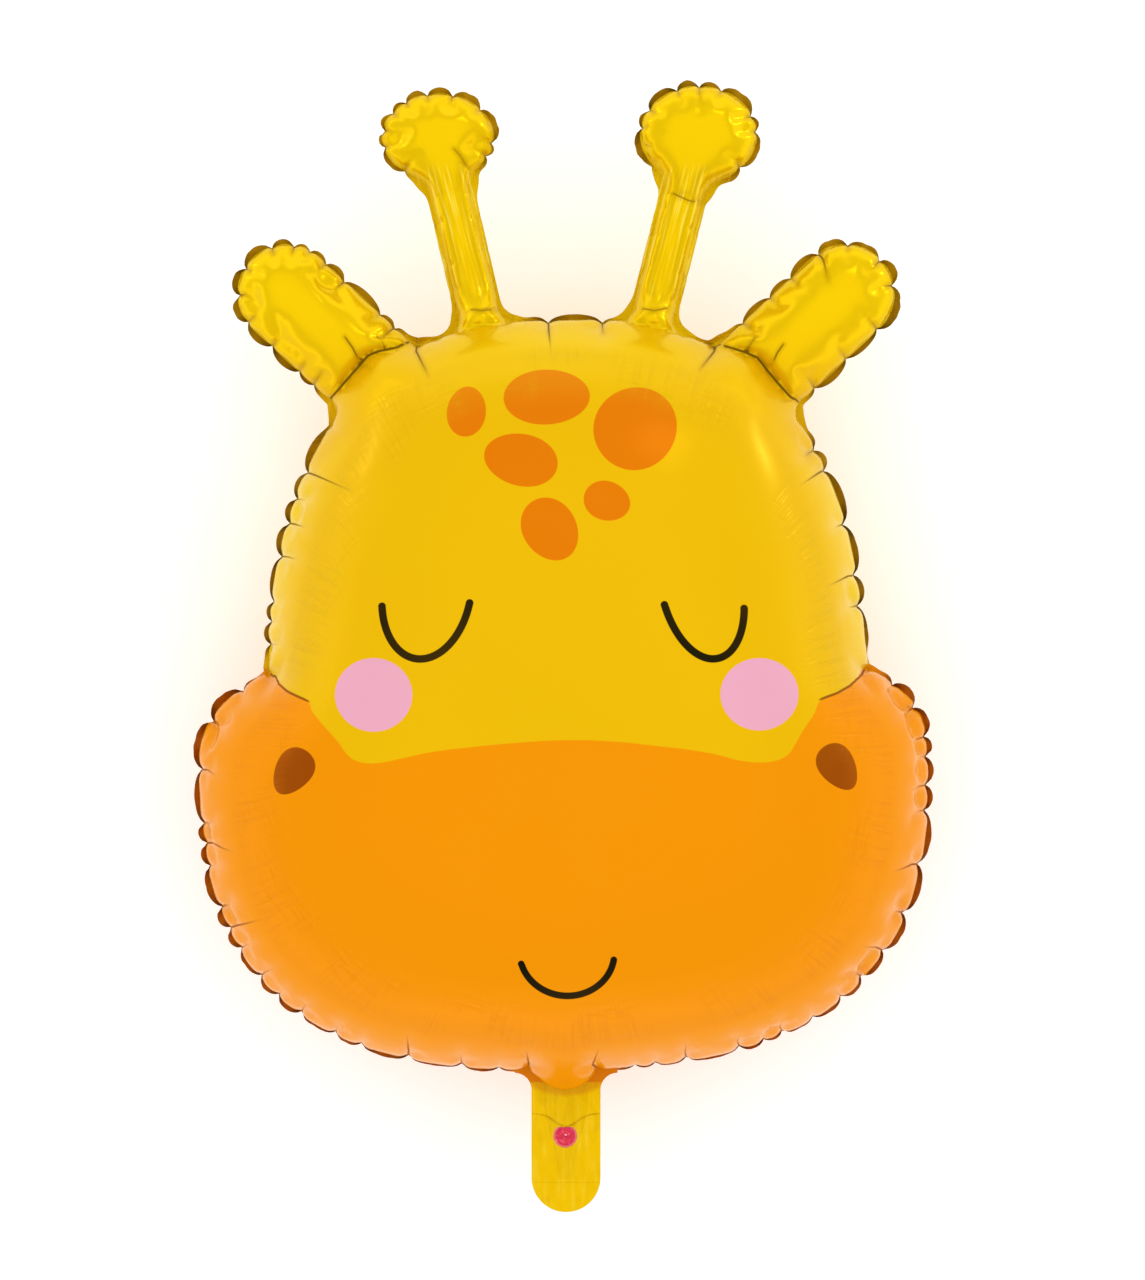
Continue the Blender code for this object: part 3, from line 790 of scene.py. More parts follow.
# Print, in the drawing plane. An egg is its middle, half length, half width, turn in degrees and taper.
SPOTS = (
    (-0.0904, 0.2766, 0.0228, 0.0177, 82, 0.04), (-0.0175, 0.2898, 0.0392, 0.0250, 2, 0.03),
    (0.0631, 0.2614, 0.0385, 0.0370, 40, 0.03), (-0.0410, 0.2328, 0.0338, 0.0236, -12, -0.05),
    (0.0372, 0.1954, 0.0214, 0.0178, -18, 0.05), (-0.0145, 0.1697, 0.0300, 0.0244, -58, 0.05),
)
CHEEKS = ((-0.1745, 0.0191, 0.0351, 0.0335, 0, 0.0), (0.1755, 0.0197, 0.0354, 0.0329, 0, 0.0))
NOSTRILS = ((-0.2482, -0.0512, 0.0229, 0.0166, 56, -0.24), (0.2471, -0.0470, 0.0230, 0.0161, 124, -0.24))

# A stroke is part of an oval: middle, half length, half width, turn, its two ends and half its thickness.
STROKES = (
    (-0.1262, 0.1127, 0.0614, 0.0399, 80.1, (-0.1668, 0.0998), (-0.0874, 0.1028), 0.0035),
    (0.1231, 0.1158, 0.0651, 0.0364, 103.5, (0.0893, 0.1011), (0.1615, 0.0978), 0.0035),
    (0.0009, -0.2150, 0.0430, 0.0391, -3.3, (-0.0407, -0.2251), (0.0434, -0.2214), 0.0031),
)

# Upper edge of the muzzle's colour, as points across the face: x and y. They lie within this box.
MUZZLE_EDGE_BOX = (0.34, 0.1)
MUZZLE_EDGE = (
    (-0.340, 0.060), (-0.280, 0.048), (-0.270, 0.0373), (-0.2557, 0.0246), (-0.2412, 0.0169),
    (-0.2316, 0.0128), (-0.2315, 0.0060), (-0.2239, -0.0046), (-0.2134, -0.0164), (-0.2048, -0.0264),
    (-0.1984, -0.0355), (-0.1902, -0.0410), (-0.1793, -0.0432), (-0.1670, -0.0424), (-0.1470, -0.0382),
    (-0.1215, -0.0328), (-0.0810, -0.0278), (-0.0400, -0.0240), (0.0, -0.0220), (0.0400, -0.0230),
    (0.0800, -0.0270), (0.1128, -0.0309), (0.1383, -0.0355), (0.1588, -0.0407), (0.1765, -0.0424),
    (0.1893, -0.0410), (0.2011, -0.0355), (0.2075, -0.0264), (0.2148, -0.0137), (0.2252, 0.0018),
    (0.2316, 0.0146), (0.2458, 0.0209), (0.2590, 0.0282), (0.2690, 0.0382), (0.2740, 0.0464), (0.340, 0.0640),
)
EDGE = 0.00035
RAYS_DROP = 0.03

HEAD_COLOUR = (0.709, 0.413, 0.0017)
TOP_SHEEN_COLOUR = (0.757, 0.509, 0.0009)
MUZZLE_COLOUR = (0.753, 0.248, 0.0009)
SPOT_COLOUR = (0.657, 0.165, 0.0009)
NOSTRIL_COLOUR = (0.274, 0.050, 0.0004)
CHEEK_COLOUR = (0.713, 0.339, 0.452)
STROKE_COLOUR = (0.0017, 0.0017, 0.0017)
CLOUD_COLOUR = (0.696, 0.313, 0.009)
FOLD_SHADE_COLOUR = (0.420, 0.220, 0.001)
TUCK_SHADE_COLOUR = (0.487, 0.252, 0.0009)
STRIPE_SHADE_COLOUR = (0.522, 0.296, 0.0009)
STRIPE_GLINT_COLOUR = (0.870, 0.696, 0.104)
SIDE_SHEEN_COLOUR = (0.766, 0.557, 0.0009)

# Pairs of colours: the first for the yellow head, the second for the muzzle.
RIM_SHADE_COLOURS = ((0.205, 0.088, 0.0009), (0.270, 0.048, 0.0009))
RIM_NOTCH_SHADE_COLOURS = ((0.030, 0.011, 0.0009), (0.070, 0.009, 0.0009))
STREAK_SHADE_COLOURS = ((0.574, 0.348, 0.0009), (0.644, 0.174, 0.0004))
CREASE_SHADE_COLOURS = ((0.104, 0.039, 0.0009), (0.174, 0.030, 0.0017))

TAIL_COLOUR = (0.722, 0.444, 0.0009)
TAIL_GLINT_STREAK_COLOUR = (0.809, 0.609, 0.044)
TAIL_FACET_SHADE_COLOUR = (0.487, 0.304, 0.0009)
TAIL_MOTTLE_COLOUR = (0.539, 0.331, 0.0017)
TAIL_CORNER_COLOUR = (0.661, 0.187, 0.0009)
LOBE_SHADE_COLOUR = (0.487, 0.148, 0.005)
CHANNEL_COLOUR = (0.452, 0.287, 0.0017)
CHANNEL_SIDE_COLOUR = (0.392, 0.226, 0.0017)
SEAL_FOLD_SHADE_COLOUR = (0.400, 0.235, 0.0009)
SEAL_LINE_COLOUR = (0.261, 0.144, 0.0009)
END_COLOUR = (0.348, 0.200, 0.0017)

FILM_COLOUR = (0.696, 0.052, 0.096)
FILM_CRINKLE_SHADE_COLOUR = (0.539, 0.026, 0.070)
FILM_FOLD_HIGHLIGHT_COLOUR = (0.827, 0.313, 0.313)
FILM_EDGE_COLOUR = (0.827, 0.226, 0.226)
DIMPLE_SHADE_COLOUR = (0.261, 0.010, 0.017)
GLINT_COLOUR = (0.870, 0.696, 0.696)
FLOOR_COLOURS = ((0.95, 0.95, 0.95), (0.97, 0.97, 0.97))


class Value:
    """What a node gives out, as a number that plain operators work on."""

    def __init__(self, nodes, socket):
        self.nodes = nodes
        self.socket = socket

    def __add__(self, other):
        return self.nodes.math("ADD", self, other)

    def __sub__(self, other):
        return self.nodes.math("SUBTRACT", self, other)

    def __rsub__(self, other):
        return self.nodes.math("SUBTRACT", other, self)

    def __mul__(self, other):
        return self.nodes.math("MULTIPLY", self, other)

    def __truediv__(self, other):
        return self.nodes.math("DIVIDE", self, other)

    def __abs__(self):
        return self.nodes.math("ABSOLUTE", self)


class Nodes:
    """The nodes of a material or of the sky, written as plain arithmetic."""

    def __init__(self, tree):
        self.tree = tree

    def put(self, socket, value):
        """Links a node's value to a socket, or writes a number or a colour in it."""
        if isinstance(value, Value):
            self.tree.links.new(value.socket, socket)
        else:
            socket.default_value = (*value, 1.0) if isinstance(value, tuple) else value

    def add(self, kind, values, output=0, **settings):
        """What a new node gives out, with these settings and with these values in its sockets."""
        node = self.tree.nodes.new(kind)
        for setting, choice in settings.items():
            setattr(node, setting, choice)
        for name, value in values.items():
            self.put(node.inputs[name], value)
        return Value(self, node.outputs[output])

    def math(self, operation, *values):
        return self.add("ShaderNodeMath", dict(enumerate(values)), operation=operation)

    def parts(self, vector):
        """The three numbers of a vector."""
        node = self.tree.nodes.new("ShaderNodeSeparateXYZ")
        self.put(node.inputs[0], vector)
        return [Value(self, output) for output in node.outputs]

    def join(self, x, y, z=0.0):
        return self.add("ShaderNodeCombineXYZ", {0: x, 1: y, 2: z})

    def ease(self, value, low, high):
        """Goes smoothly from 0 at low to 1 at high."""
        values = {"Value": value, "From Min": min(low, high), "From Max": max(low, high)}
        values.update({"To Min": float(low > high), "To Max": float(low < high)})
        return self.add("ShaderNodeMapRange", values, interpolation_type="SMOOTHSTEP")

    def mix(self, share, first, second):
        """The first colour, or the second where the share is 1."""
        return self.add("ShaderNodeMix", {0: share, 6: first, 7: second}, output=2, data_type="RGBA")

    def noise(self, vector, scale, detail=2.0, rough=0.5):
        values = {"Vector": vector, "Scale": scale, "Detail": detail, "Roughness": rough}
        return self.add("ShaderNodeTexNoise", values)

    def length(self, u, v):
        return self.math("SQRT", u * u + v * v)

    def least(self, distances):
        found = distances[0]
        for distance in distances[1:]:
            found = self.math("MINIMUM", found, distance)
        return found


class Shades(Nodes):
    """A material put together from plain arithmetic nodes."""

    def __init__(self, name, roughness, metallic):
        self.material = bpy.data.materials.new(name)
        self.material.use_nodes = True
        super().__init__(self.material.node_tree)
        self.inputs = self.tree.nodes["Principled BSDF"].inputs
        self.inputs["Roughness"].default_value = roughness
        self.inputs["Metallic"].default_value = metallic
        self.inputs["Specular IOR Level"].default_value = 0.1
        self.inputs["Specular Tint"].default_value = (1.0, 0.90, 0.15, 1.0)

    def paint(self, share, colour):
        """Lays a colour over the base colour."""
        self.base = self.mix(share, self.base, colour)

    def finished(self):
        """The material with its base colour."""
        self.put(self.inputs["Base Color"], self.base)
        return self.material

    def plane(self, layer):
        """The two numbers of a UV layer."""
        return self.parts(self.add("ShaderNodeUVMap", {}, uv_map=layer))[:2]

    def turned(self, x, y, middle_x, middle_y, first, second, turn):
        """Place in an oval's own axes, as shares of its half length and half width."""
        cos, sin = math.cos(math.radians(turn)), math.sin(math.radians(turn))
        x, y = x - middle_x, y - middle_y
        return x * (cos / first) + y * (sin / first), x * (-sin / second) + y * (cos / second)

    def egg(self, x, y, middle_x, middle_y, first, second, turn, taper):
        """Distance outside an egg's edge, roughly."""
        u, v = self.turned(x, y, middle_x, middle_y, first, second, turn)
        if taper:
            v = v * (u * taper + 1.0)
        return (self.length(u, v) - 1.0) * min(first, second)

    def stroke(self, x, y, middle_x, middle_y, first, second, turn, one, other, half):
        """Distance outside a stroke of even thickness with round ends."""
        u, v = self.turned(x, y, middle_x, middle_y, first, second, turn)
        radius = self.math("MAXIMUM", self.length(u, v), 0.01)
        off = abs((radius - 1.0) / (self.length(u / first, v / second) / radius))
        slope = (other[1] - one[1]) / (other[0] - one[0])
        above = self.math("GREATER_THAN", y, (x - one[0]) * slope + one[1])
        gaps = [self.length(x - end[0], y - end[1]) for end in (one, other)]
        return self.least([off + above] + gaps) - half

    def muzzle_edge(self, x):
        """Height of the upper edge of the muzzle's colour at x."""
        wide, tall = MUZZLE_EDGE_BOX
        node = self.tree.nodes.new("ShaderNodeFloatCurve")
        curve = node.mapping.curves[0]
        spread = [((px + wide) / (2 * wide), (py + tall) / (2 * tall)) for px, py in MUZZLE_EDGE]
        curve.points[0].location, curve.points[1].location = spread[0], spread[-1]
        for px, py in spread[1:-1]:
            curve.points.new(px, py)
        node.mapping.update()
        self.put(node.inputs["Value"], (x + wide) / (2 * wide))
        return Value(self, node.outputs[0]) * (2 * tall) - tall


# Marks of the face: how their distance is worked out, their sizes and their colour.
FACE = (
    (Shades.egg, SPOTS, SPOT_COLOUR),
    (Shades.egg, CHEEKS, CHEEK_COLOUR),
    (Shades.egg, NOSTRILS, NOSTRIL_COLOUR),
    (Shades.stroke, STROKES, STROKE_COLOUR),
)


def foil_material(name, printed):
    """Metallised film with a matt print: yellow head, orange muzzle, and the face where it is printed."""
    m = Shades(name, 0.20, 0.09)
    x, y = m.plane("print")
    along, inward = m.plane("seam")
    ends, plain = m.plane("lobe")
    off, deep = m.plane("fold")
    where = m.join(x, y)
    below = m.ease(y - m.muzzle_edge(x), EDGE, -EDGE)
    # Yellow head, paler towards its top as a painted sheen, and orange muzzle.
    m.base = m.mix(below, m.mix(m.ease(y, 0.26, 0.38) * 0.8, HEAD_COLOUR, TOP_SHEEN_COLOUR), MUZZLE_COLOUR)
    if printed:
        for shape, marks, colour in FACE:
            gap = m.least([shape(m, x, y, *mark) for mark in marks])
            m.paint(m.ease(gap, EDGE, -EDGE), colour)
    cloudy = m.noise(where, 7.0, 3.0)
    m.paint(m.ease(cloudy, 0.30, 0.80) * 0.05, CLOUD_COLOUR)

    # The rim painted brown as painted shade and dark reflection, darker still where two of its lobes meet, as
    # painted shade in the notch.
    on_rim = m.ease(inward, -0.0001, -0.0012) * (0.94 - plain * 0.80)
    ragged = m.noise(m.join(along, inward), 90.0, 2.0)
    brown, dark = m.mix(below, *RIM_SHADE_COLOURS), m.mix(below, *RIM_NOTCH_SHADE_COLOURS)
    m.paint(on_rim, m.mix(m.ease(ends + ragged * 0.5, 0.35, 1.15), brown, dark))

    # Fine streaks of taut foil, along rays from the middle of the face, in a band inside the edge: the band
    # and the streaks are painted darker as painted shade and reflection, and the streaks also get a slight
    # bump.
    ray_y = y + RAYS_DROP
    off_middle = m.length(x, ray_y)
    reach = m.math("MAXIMUM", off_middle, 0.01)
    across, up = x / reach, ray_y / reach
    wrinkles = m.noise(m.join(across, up, off_middle * 0.22), 80.0, 1.0, 0.4)
    lengthwise = m.noise(m.join(across * 0.05, up * 0.05, off_middle), 210.0, 1.0, 0.4)
    band = m.ease(inward, 0.078, 0.094) * m.ease(inward, 0.150, 0.122)
    patch = m.ease(m.noise(where, 14.0, 1.0), 0.40, 0.58)
    streaks = (m.ease(wrinkles, 0.44, 0.72) + m.ease(lengthwise, 0.46, 0.70) * 0.5) * band * patch
    m.paint(band * 0.15 + streaks * 0.15, m.mix(below, *STREAK_SHADE_COLOURS))

    # Ears, horns and the top edge: darker where the foil is tucked by the seam and in its folds, a painted
    # shade, and stripes along the horns.
    small = m.ease(m.length(x / 0.30, ray_y / 0.37), 0.99, 1.04) * m.ease(y, 0.20, 0.24)
    tuck_shade = m.ease(cloudy, 0.35, 0.60) * m.ease(inward, 0.014, 0.001) * small
    shade = m.ease(off, 0.0050, 0.0006) * m.ease(deep, 0.05, 0.45) * small
    m.paint(shade * 0.40, FOLD_SHADE_COLOUR)
    m.paint(tuck_shade * 0.45, TUCK_SHADE_COLOUR)
    # Stripes along the horns: dark ones as painted shade, pale ones as painted glints.
    stripe = m.noise(m.join(abs(x) - y * 0.245, y * 0.04), 400.0, 2.0, 0.5)
    stem = m.ease(y, 0.374, 0.388) * m.ease(y, 0.505, 0.490) * m.ease(abs(x), 0.155, 0.150)
    m.paint(stem * m.ease(stripe, 0.48, 0.62) * 0.30, STRIPE_SHADE_COLOUR)
    m.paint(stem * m.ease(stripe, 0.46, 0.34) * 0.50, STRIPE_GLINT_COLOUR)

    # Paler yellow towards the sides of the head as a painted sheen, and dark lines in the creases as painted
    # shade.
    inside = m.ease(inward, -0.0005, 0.0010)
    side = m.ease(inward, 0.100, 0.010) * inside * (1.0 - below) * (1.0 - small)
    m.paint(side * 0.6, SIDE_SHEEN_COLOUR)
    # Painted shade: dark lines along the creases.
    line = m.ease(off - deep * 0.0005, 0.0009, 0.0) * m.ease(deep, 0.15, 0.9) * inside
    m.paint(line * 0.80, m.mix(below, *CREASE_SHADE_COLOURS))

    # Gloss and the finest relief.
    dull = 1.0 - m.math("MAXIMUM", line, on_rim * 0.7)
    m.put(m.inputs["Metallic"], (small * 0.32 + 0.09) * dull)
    rim = m.ease(inward, 0.001, -0.001) * m.noise(m.join(along, inward), 420.0, 2.0)
    relief = streaks * -0.2 + rim * 0.5 + m.noise(where, 38.0, 2.0) * 0.02
    bump = m.add("ShaderNodeBump", {"Strength": 1.0, "Distance": 0.0022, "Height": relief})
    m.put(m.inputs["Normal"], bump)
    rough = m.noise(where, 16.0, 3.0) * 0.08 + 0.15
    m.put(m.inputs["Roughness"], rough + m.math("MAXIMUM", line, on_rim * 0.5) * 0.5)
    return m.finished()


# Weld lines of the tail, down from the chin: the seal that dips to the hole, the end's line and the channel.
SEAL_DROP = 0.0425
SEAL_DIP = 0.0118
SEAL_NARROWNESS = 4800.0
END_DROP = 0.1052
CHANNEL_HALF = 0.0072
CHANNEL_FLARE = 0.0120
FILM_MIDDLE = np.array([-0.0007, CHIN[1] - VALVE_HOLE_DROP + 0.0012])


def tail_material():
    """Yellow film of the filling tail, with orange corners under the chin, and streaks of folded foil as
    painted glints and painted shade.
    """
    m = Shades("tail_foil", 0.20, 0.25)
    x, y = m.plane("print")
    top = CHIN[1]
    streaks = m.noise(m.join(x, y * 0.12), 230.0, 3.0)
    mottle = m.noise(m.join(x, y), 60.0, 3.0)
    facet_shade = m.noise(m.join(x, y * 0.45), 120.0, 1.0, 0.4)
    upper = m.ease(y, top - 0.062, top - 0.030)
    # Paler streaks: painted glints on the folded foil.
    m.base = m.mix(m.ease(streaks, 0.45, 0.75) * 0.35, TAIL_COLOUR, TAIL_GLINT_STREAK_COLOUR)
    # Patches of the folded foil painted darker, more so near the top: painted shade.
    m.paint(m.ease(facet_shade, 0.50, 0.56) * (upper * 0.14 + 0.08), TAIL_FACET_SHADE_COLOUR)
    m.paint(m.ease(mottle, 0.50, 0.75) * 0.30, TAIL_MOTTLE_COLOUR)

    # Orange corners, and the shade of the chin's lobe.
    lobe = m.length(x, y - (top - TAIL_MOUTH_REACH + 0.055)) - 0.058
    m.paint(m.ease(y - (top - 0.0140), -EDGE, EDGE), TAIL_CORNER_COLOUR)
    m.paint(m.ease(lobe, 0.006, 0.0) * 0.5, LOBE_SHADE_COLOUR)

    # The channel and its sides, the seal and the line at the end.
    half = m.ease(y, top - 0.094, top - 0.030) * CHANNEL_FLARE + CHANNEL_HALF
    channel = abs(x) - half
    inside = m.ease(channel, 0.0008, -0.0008) * m.ease(y, top - 0.1025, top - 0.1012)
    inside = inside * m.ease(y, top - 0.026, top - 0.030)
    m.paint(inside * 0.16, CHANNEL_COLOUR)
    sides = m.ease(abs(channel), 0.0012, 0.0) * m.ease(y, top - 0.100, top - 0.090)
    m.paint(sides * 0.16, CHANNEL_SIDE_COLOUR)
    bow = m.math("EXPONENT", x * x * -SEAL_NARROWNESS) * -SEAL_DIP
    seal = abs(y - (top - SEAL_DROP) - bow)
    patchy = m.ease(mottle, 0.35, 0.60)
    # A broad patchy band along the middle of the seal, painted darker: painted shade of its fold.
    wide = m.ease(seal, 0.0034, 0.0006) * m.ease(abs(x), 0.024, 0.014) * patchy
    m.paint(wide * 0.40, SEAL_FOLD_SHADE_COLOUR)
    m.paint(m.ease(seal, 0.0009, 0.0001) * (patchy + 0.35) * 0.50, SEAL_LINE_COLOUR)
    m.paint(m.ease(abs(y - (top - END_DROP)), 0.0007, 0.0001) * 0.25, END_COLOUR)
    return m.finished()


def film_material():
    """Crinkled pink film with a paler edge, painted highlights on its folds and painted shade between them,
    and a dimple of painted shade with a painted glint.
    """
    m = Shades("pink_film", 0.22, 0.25)
    x, y = m.plane("print")
    middle_x, middle_y = FILM_MIDDLE
    # Crinkles: darker between the folds as painted shade, and paler folds as painted highlights.
    folds = m.noise(m.join(x, y), 260.0, 3.0, 0.6)
    m.base = m.mix(m.ease(folds, 0.38, 0.68), FILM_CRINKLE_SHADE_COLOUR, FILM_COLOUR)
    m.paint(m.ease(folds, 0.60, 0.74), FILM_FOLD_HIGHLIGHT_COLOUR)
    # A dimple painted dark: painted shade.
    dimple = m.length(x - 0.0002, y - (middle_y - 0.0005))
    m.paint(m.ease(dimple, 0.0014, 0.0004) * 0.8, DIMPLE_SHADE_COLOUR)
    glint = m.length(x + 0.0002, (y - (middle_y + 0.0008)) * 2.2)
    m.paint(m.ease(glint, 0.0013, 0.0007), GLINT_COLOUR)
    edge = m.length(x - middle_x, y - middle_y)
    m.paint(m.ease(edge, 0.0086, 0.0098) * 0.7, FILM_EDGE_COLOUR)
    return m.finished()


def floor_material():
    """Pale floor that gives off a little light of its own."""
    m = Shades("floor_pale", 0.75, 0.0)
    grain = m.noise(m.join(*m.plane("print")), 40.0, 4.0)
    m.base = m.mix(grain, *FLOOR_COLOURS)
    m.inputs["Emission Color"].default_value = (1.0, 1.0, 1.0, 1.0)
    m.inputs["Emission Strength"].default_value = 0.10
    return m.finished()


def tail_outline(step):
    """The tail seen from the front: flared where it leaves the chin, and round at its end."""
    root_y = CHIN[1] + 0.006
    end_y = CHIN[1] - TAIL_LENGTH + TAIL_HALF_WIDTH
    flare_y = CHIN[1] - 0.0055 - TAIL_FLARE
    flare_x = TAIL_HALF_WIDTH + TAIL_FLARE
    quarter = np.radians(np.linspace(90, 0, 10))
    left = np.stack([-flare_x + TAIL_FLARE * np.cos(quarter), flare_y + TAIL_FLARE * np.sin(quarter)], 1)
    half = np.radians(np.linspace(180, 360, 40))
    end = np.stack([TAIL_HALF_WIDTH * np.cos(half), end_y + TAIL_HALF_WIDTH * np.sin(half)], 1)
    corners = np.concatenate([[(-flare_x, root_y)], left, end, left[::-1] * (-1, 1), [(flare_x, root_y)]])
    closed = np.concatenate([corners, corners[:1]])
    return points_at(closed, np.arange(0, travelled_along(closed)[-1], step))


def plane_noise(x, y, seed):
    """Smooth noise between -1 and 1 over the plane, one bump per unit."""
    rng = np.random.default_rng(seed)
    table = rng.uniform(-1, 1, (64, 64))
    ix, iy = np.floor(x).astype(int), np.floor(y).astype(int)
    fx, fy = x - ix, y - iy
    fx, fy = fx * fx * (3 - 2 * fx), fy * fy * (3 - 2 * fy)
    low = table[ix % 64, iy % 64] * (1 - fx) + table[(ix + 1) % 64, iy % 64] * fx
    high = table[ix % 64, (iy + 1) % 64] * (1 - fx) + table[(ix + 1) % 64, (iy + 1) % 64] * fx
    return low * (1 - fy) + high * fy


def flat_net(outline, pitch, hole=None):
    """Triangles over a flat outline, with a hole in it where one is given."""
    grid = staggered(outline.min(0), outline.max(0), pitch, pitch)
    loops = [outline] if hole is None else [outline, hole]
    edges = []
    first = 0
    for loop in loops:
        grid = grid[line_distance(grid, loop) > 0.6 * pitch]
        edges += [(first + i, first + (i + 1) % len(loop)) for i in range(len(loop))]
        first += len(loop)
    loose = np.concatenate(loops + [grid])
    made = delaunay_2d_cdt([Vector(point) for point in loose], edges, [], 0, 1e-7)
    faces = np.array(made[2])
    flat = np.array([tuple(point) for point in made[0]])
    middles = flat[faces].mean(1)
    inside = inside_loop(middles, outline)
    if hole is not None:
        inside &= ~inside_loop(middles, hole)
    return flat, faces[inside]


def inside_loop(points, loop):
    """Which points lie inside a closed loop."""
    crossed = np.zeros(len(points), bool)
    for a, b in zip(loop, np.roll(loop, -1, axis=0)):
        spans = (a[1] > points[:, 1]) != (b[1] > points[:, 1])
        if a[1] != b[1]:
            crossed ^= spans & (points[:, 0] < a[0] + (points[:, 1] - a[1]) * (b[0] - a[0]) / (b[1] - a[1]))
    return crossed


def film_outline(radius):
    """The disc of film whose top is cut straight."""
    flat = min(VALVE_FILM_FLAT, 0.98 * radius)
    start = math.acos(flat / radius)
    angles = np.linspace(math.pi / 2 + start, 2.5 * math.pi - start, 60)
    arc = FILM_MIDDLE + radius * np.stack([np.cos(angles), np.sin(angles)], 1)
    half = radius * math.sin(start)
    across = FILM_MIDDLE[0] + np.linspace(half, -half, 14)[1:-1]
    return np.concatenate([arc, np.stack([across, np.full(12, FILM_MIDDLE[1] + flat)], 1)])


def groove(distance, half_width):
    """1 on a line, falling to 0 within a few half widths of it."""
    return np.exp(-((distance / half_width) ** 2))


def tail_height(flat, edge, hole):
    """Height of the tail's foil over its middle plane, puffed between its welds."""
    x, y = flat[:, 0], flat[:, 1] - CHIN[1]
    puff = np.clip(edge / 0.006, 0, 1)
    puff = puff * puff * (3 - 2 * puff)
    streak = plane_noise(x * 260 + 9, y * 26, 4) * 0.5 + plane_noise(x * 520 + 5, y * 60, 8) * 0.3
    broad = plane_noise(x * 60 + 3, y * 45 + 2, 6)
    height = 0.0007 + puff * (0.0007 + 0.00028 * streak + 0.0004 * broad)
    seal = np.abs(y + SEAL_DROP + SEAL_DIP * np.exp(-SEAL_NARROWNESS * x * x))
    half = CHANNEL_HALF + CHANNEL_FLARE * np.clip((y + 0.094) / 0.064, 0, 1)
    height -= 0.0006 * groove(seal, 0.0009)
    height -= 0.0003 * groove(y + END_DROP, 0.0012)
    height -= 0.0004 * groove(np.abs(x) - half, 0.0009) * (y > -0.103) * (y < -0.027)
    if hole is not None:
        height += 0.0004 * groove(line_distance(flat, hole), 0.0012) - 0.0002
    top = np.clip((y + 0.028) / 0.02, 0, 1)
    return np.clip(height * (1 - top) + 0.0005 * top, 0.0003, 0.0024)


def make_tail(world_shift, material, film):
    """Front and back of the flat tail, slightly puffed between its welds, and the film in its hole."""
    outline = tail_outline(0.0018)
    hole = film_outline(VALVE_HOLE_RADIUS + 0.0003)
    for name, side, opening in (("tail_front", 1, hole), ("tail_back", -1, None)):
        flat, faces = flat_net(outline, 0.0022, opening)
        height = tail_height(flat, line_distance(flat, outline), opening)
        points = np.column_stack([flat, side * height]) + world_shift
        made = mesh_object(name, points, faces if side > 0 else faces[:, ::-1], flat, material)
        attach(made, "root")
        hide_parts("foil_envelope")
    flat, faces = flat_net(film_outline(VALVE_HOLE_RADIUS + 0.0012), 0.0009)
    x, y = flat[:, 0], flat[:, 1] - CHIN[1] + VALVE_HOLE_DROP
    crinkle = 0.00035 * plane_noise(x * 480 + 20, y * 480 + 20, 12)
    crinkle += 0.00016 * plane_noise(x * 1100, y * 1100, 13)
    pucker = 0.0003 * np.cos(5 * np.arctan2(y, x) + 1.0) * groove(np.hypot(x, y), 0.006)
    points = np.column_stack([flat, np.clip(0.00055 + crinkle + pucker, 0.0, 0.0012)]) + world_shift
    disc = mesh_object("pink_film", points, faces, flat, film)
    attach(disc, "root")
    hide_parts("valve_film")


# Where the drawing's origin lies in the frame, from the box of the valve's film.
film_low, film_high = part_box("valve_film")
SEAM_Z = film_low[2] - 0.0003
film_end = CHIN[1] - VALVE_HOLE_DROP - VALVE_HOLE_RADIUS
SHIFT = np.array([(film_low[0] + film_high[0]) / 2, film_low[1] - film_end, SEAM_Z])

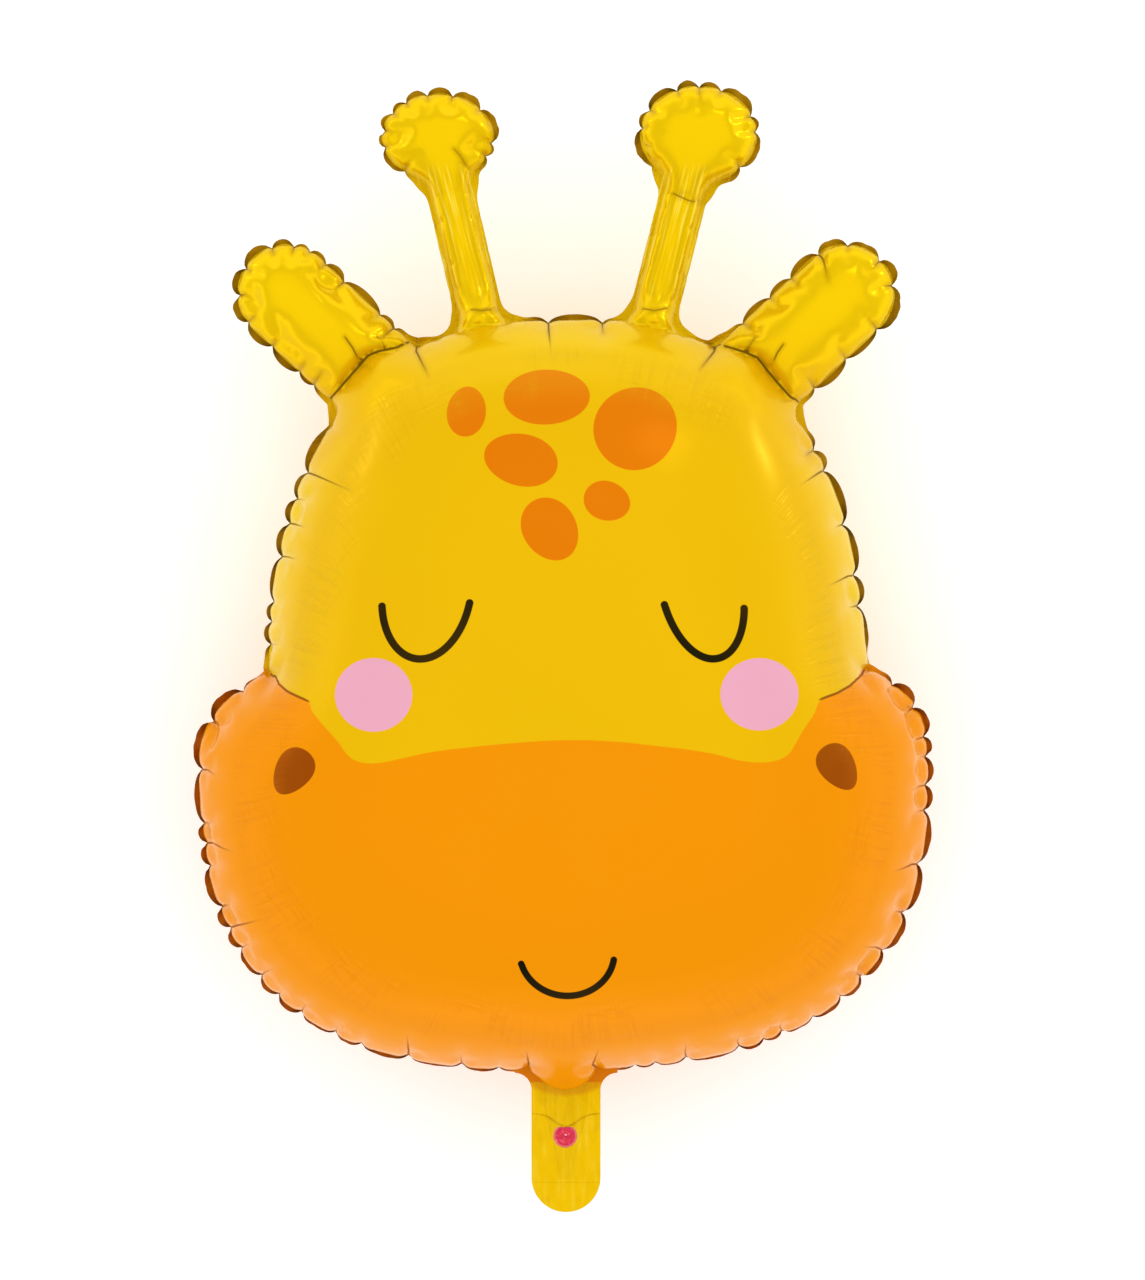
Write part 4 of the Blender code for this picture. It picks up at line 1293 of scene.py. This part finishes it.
foils = Foils(SEAM_Z)
final = fill_with_gas(foils)
world = final + SHIFT
toward = np.maximum(foils.start[:, 2:], 0)
seen = VIEW_AXIS + (foils.flat - VIEW_AXIS) * DISTANCE / (DISTANCE - toward)
seam_layer = np.column_stack([foils.place, foils.inward])
layers = {"seam": seam_layer, "lobe": foils.lobe_layer, "fold": foils.fold_layer}
fronts = np.concatenate([foils.front, foils.rim])
front_print = foil_material("front_print", True)
back_print = foil_material("back_print", False)
front_piece = mesh_object("front_foil", world, fronts, seen, front_print, layers)
back_piece = mesh_object("back_foil", world, foils.back, foils.flat, back_print, layers)
for piece in (front_piece, back_piece):
    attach(piece, "root")
    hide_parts("foil_envelope")
make_tail(SHIFT, tail_material(), film_material())

floor_points = np.array([(-6.0, -6, 0), (6, -6, 0), (6, 6, 0), (-6, 6, 0)])
floor_faces = np.array([(0, 1, 2), (0, 2, 3)])
floor = mesh_object("floor", floor_points, floor_faces, floor_points[:, :2], floor_material())

camera_data = bpy.data.cameras.new("camera")
camera = bpy.data.objects.new("camera", camera_data)
bpy.context.collection.objects.link(camera)
camera_data.sensor_width = 36.0
camera_data.lens = camera_data.sensor_width * DISTANCE / (PICTURE_HEIGHT * PIXEL)
camera.location = (*(VIEW_AXIS + SHIFT[:2]), SEAM_Z + DISTANCE)
bpy.context.scene.camera = camera
bpy.context.scene.view_settings.view_transform = "Standard"

# White sky, brighter overhead and near the horizon.
studio = bpy.data.worlds.new("studio")
bpy.context.scene.world = studio
studio.use_nodes = True
sky = Nodes(studio.node_tree)
upness = sky.parts(sky.add("ShaderNodeTexCoord", {}, output="Generated"))[2]
strength = sky.ease(upness, 0.55, 0.88) * 0.48 + sky.ease(upness, 0.40, 0.10) * 0.80 + 0.92
background = studio.node_tree.nodes["Background"].inputs
background["Color"].default_value = (1.0, 1.0, 1.0, 1)
sky.put(background["Strength"], strength)


def soft_light(name, place, size, energy):
    """A rectangular light that is aimed at the balloon's middle."""
    data = bpy.data.lights.new(name, "AREA")
    data.shape = "RECTANGLE"
    data.size, data.size_y = size
    data.energy = energy
    light = bpy.data.objects.new(name, data)
    bpy.context.collection.objects.link(light)
    light.location = place
    direction = Vector((0, 0, 0.15)) - Vector(place)
    light.rotation_euler = direction.to_track_quat("-Z", "Y").to_euler()


soft_light("upper_left", (-3.2, 2.0, 0.50), (0.40, 0.40), 1.5)
soft_light("upper_right", (3.2, 2.1, 0.50), (0.36, 0.36), 4)
soft_light("upper", (1.3, 2.6, 2.2), (0.8, 0.6), 3)
soft_light("lower", (0.0, -2.9, 0.5), (2.2, 0.30), 1.0)
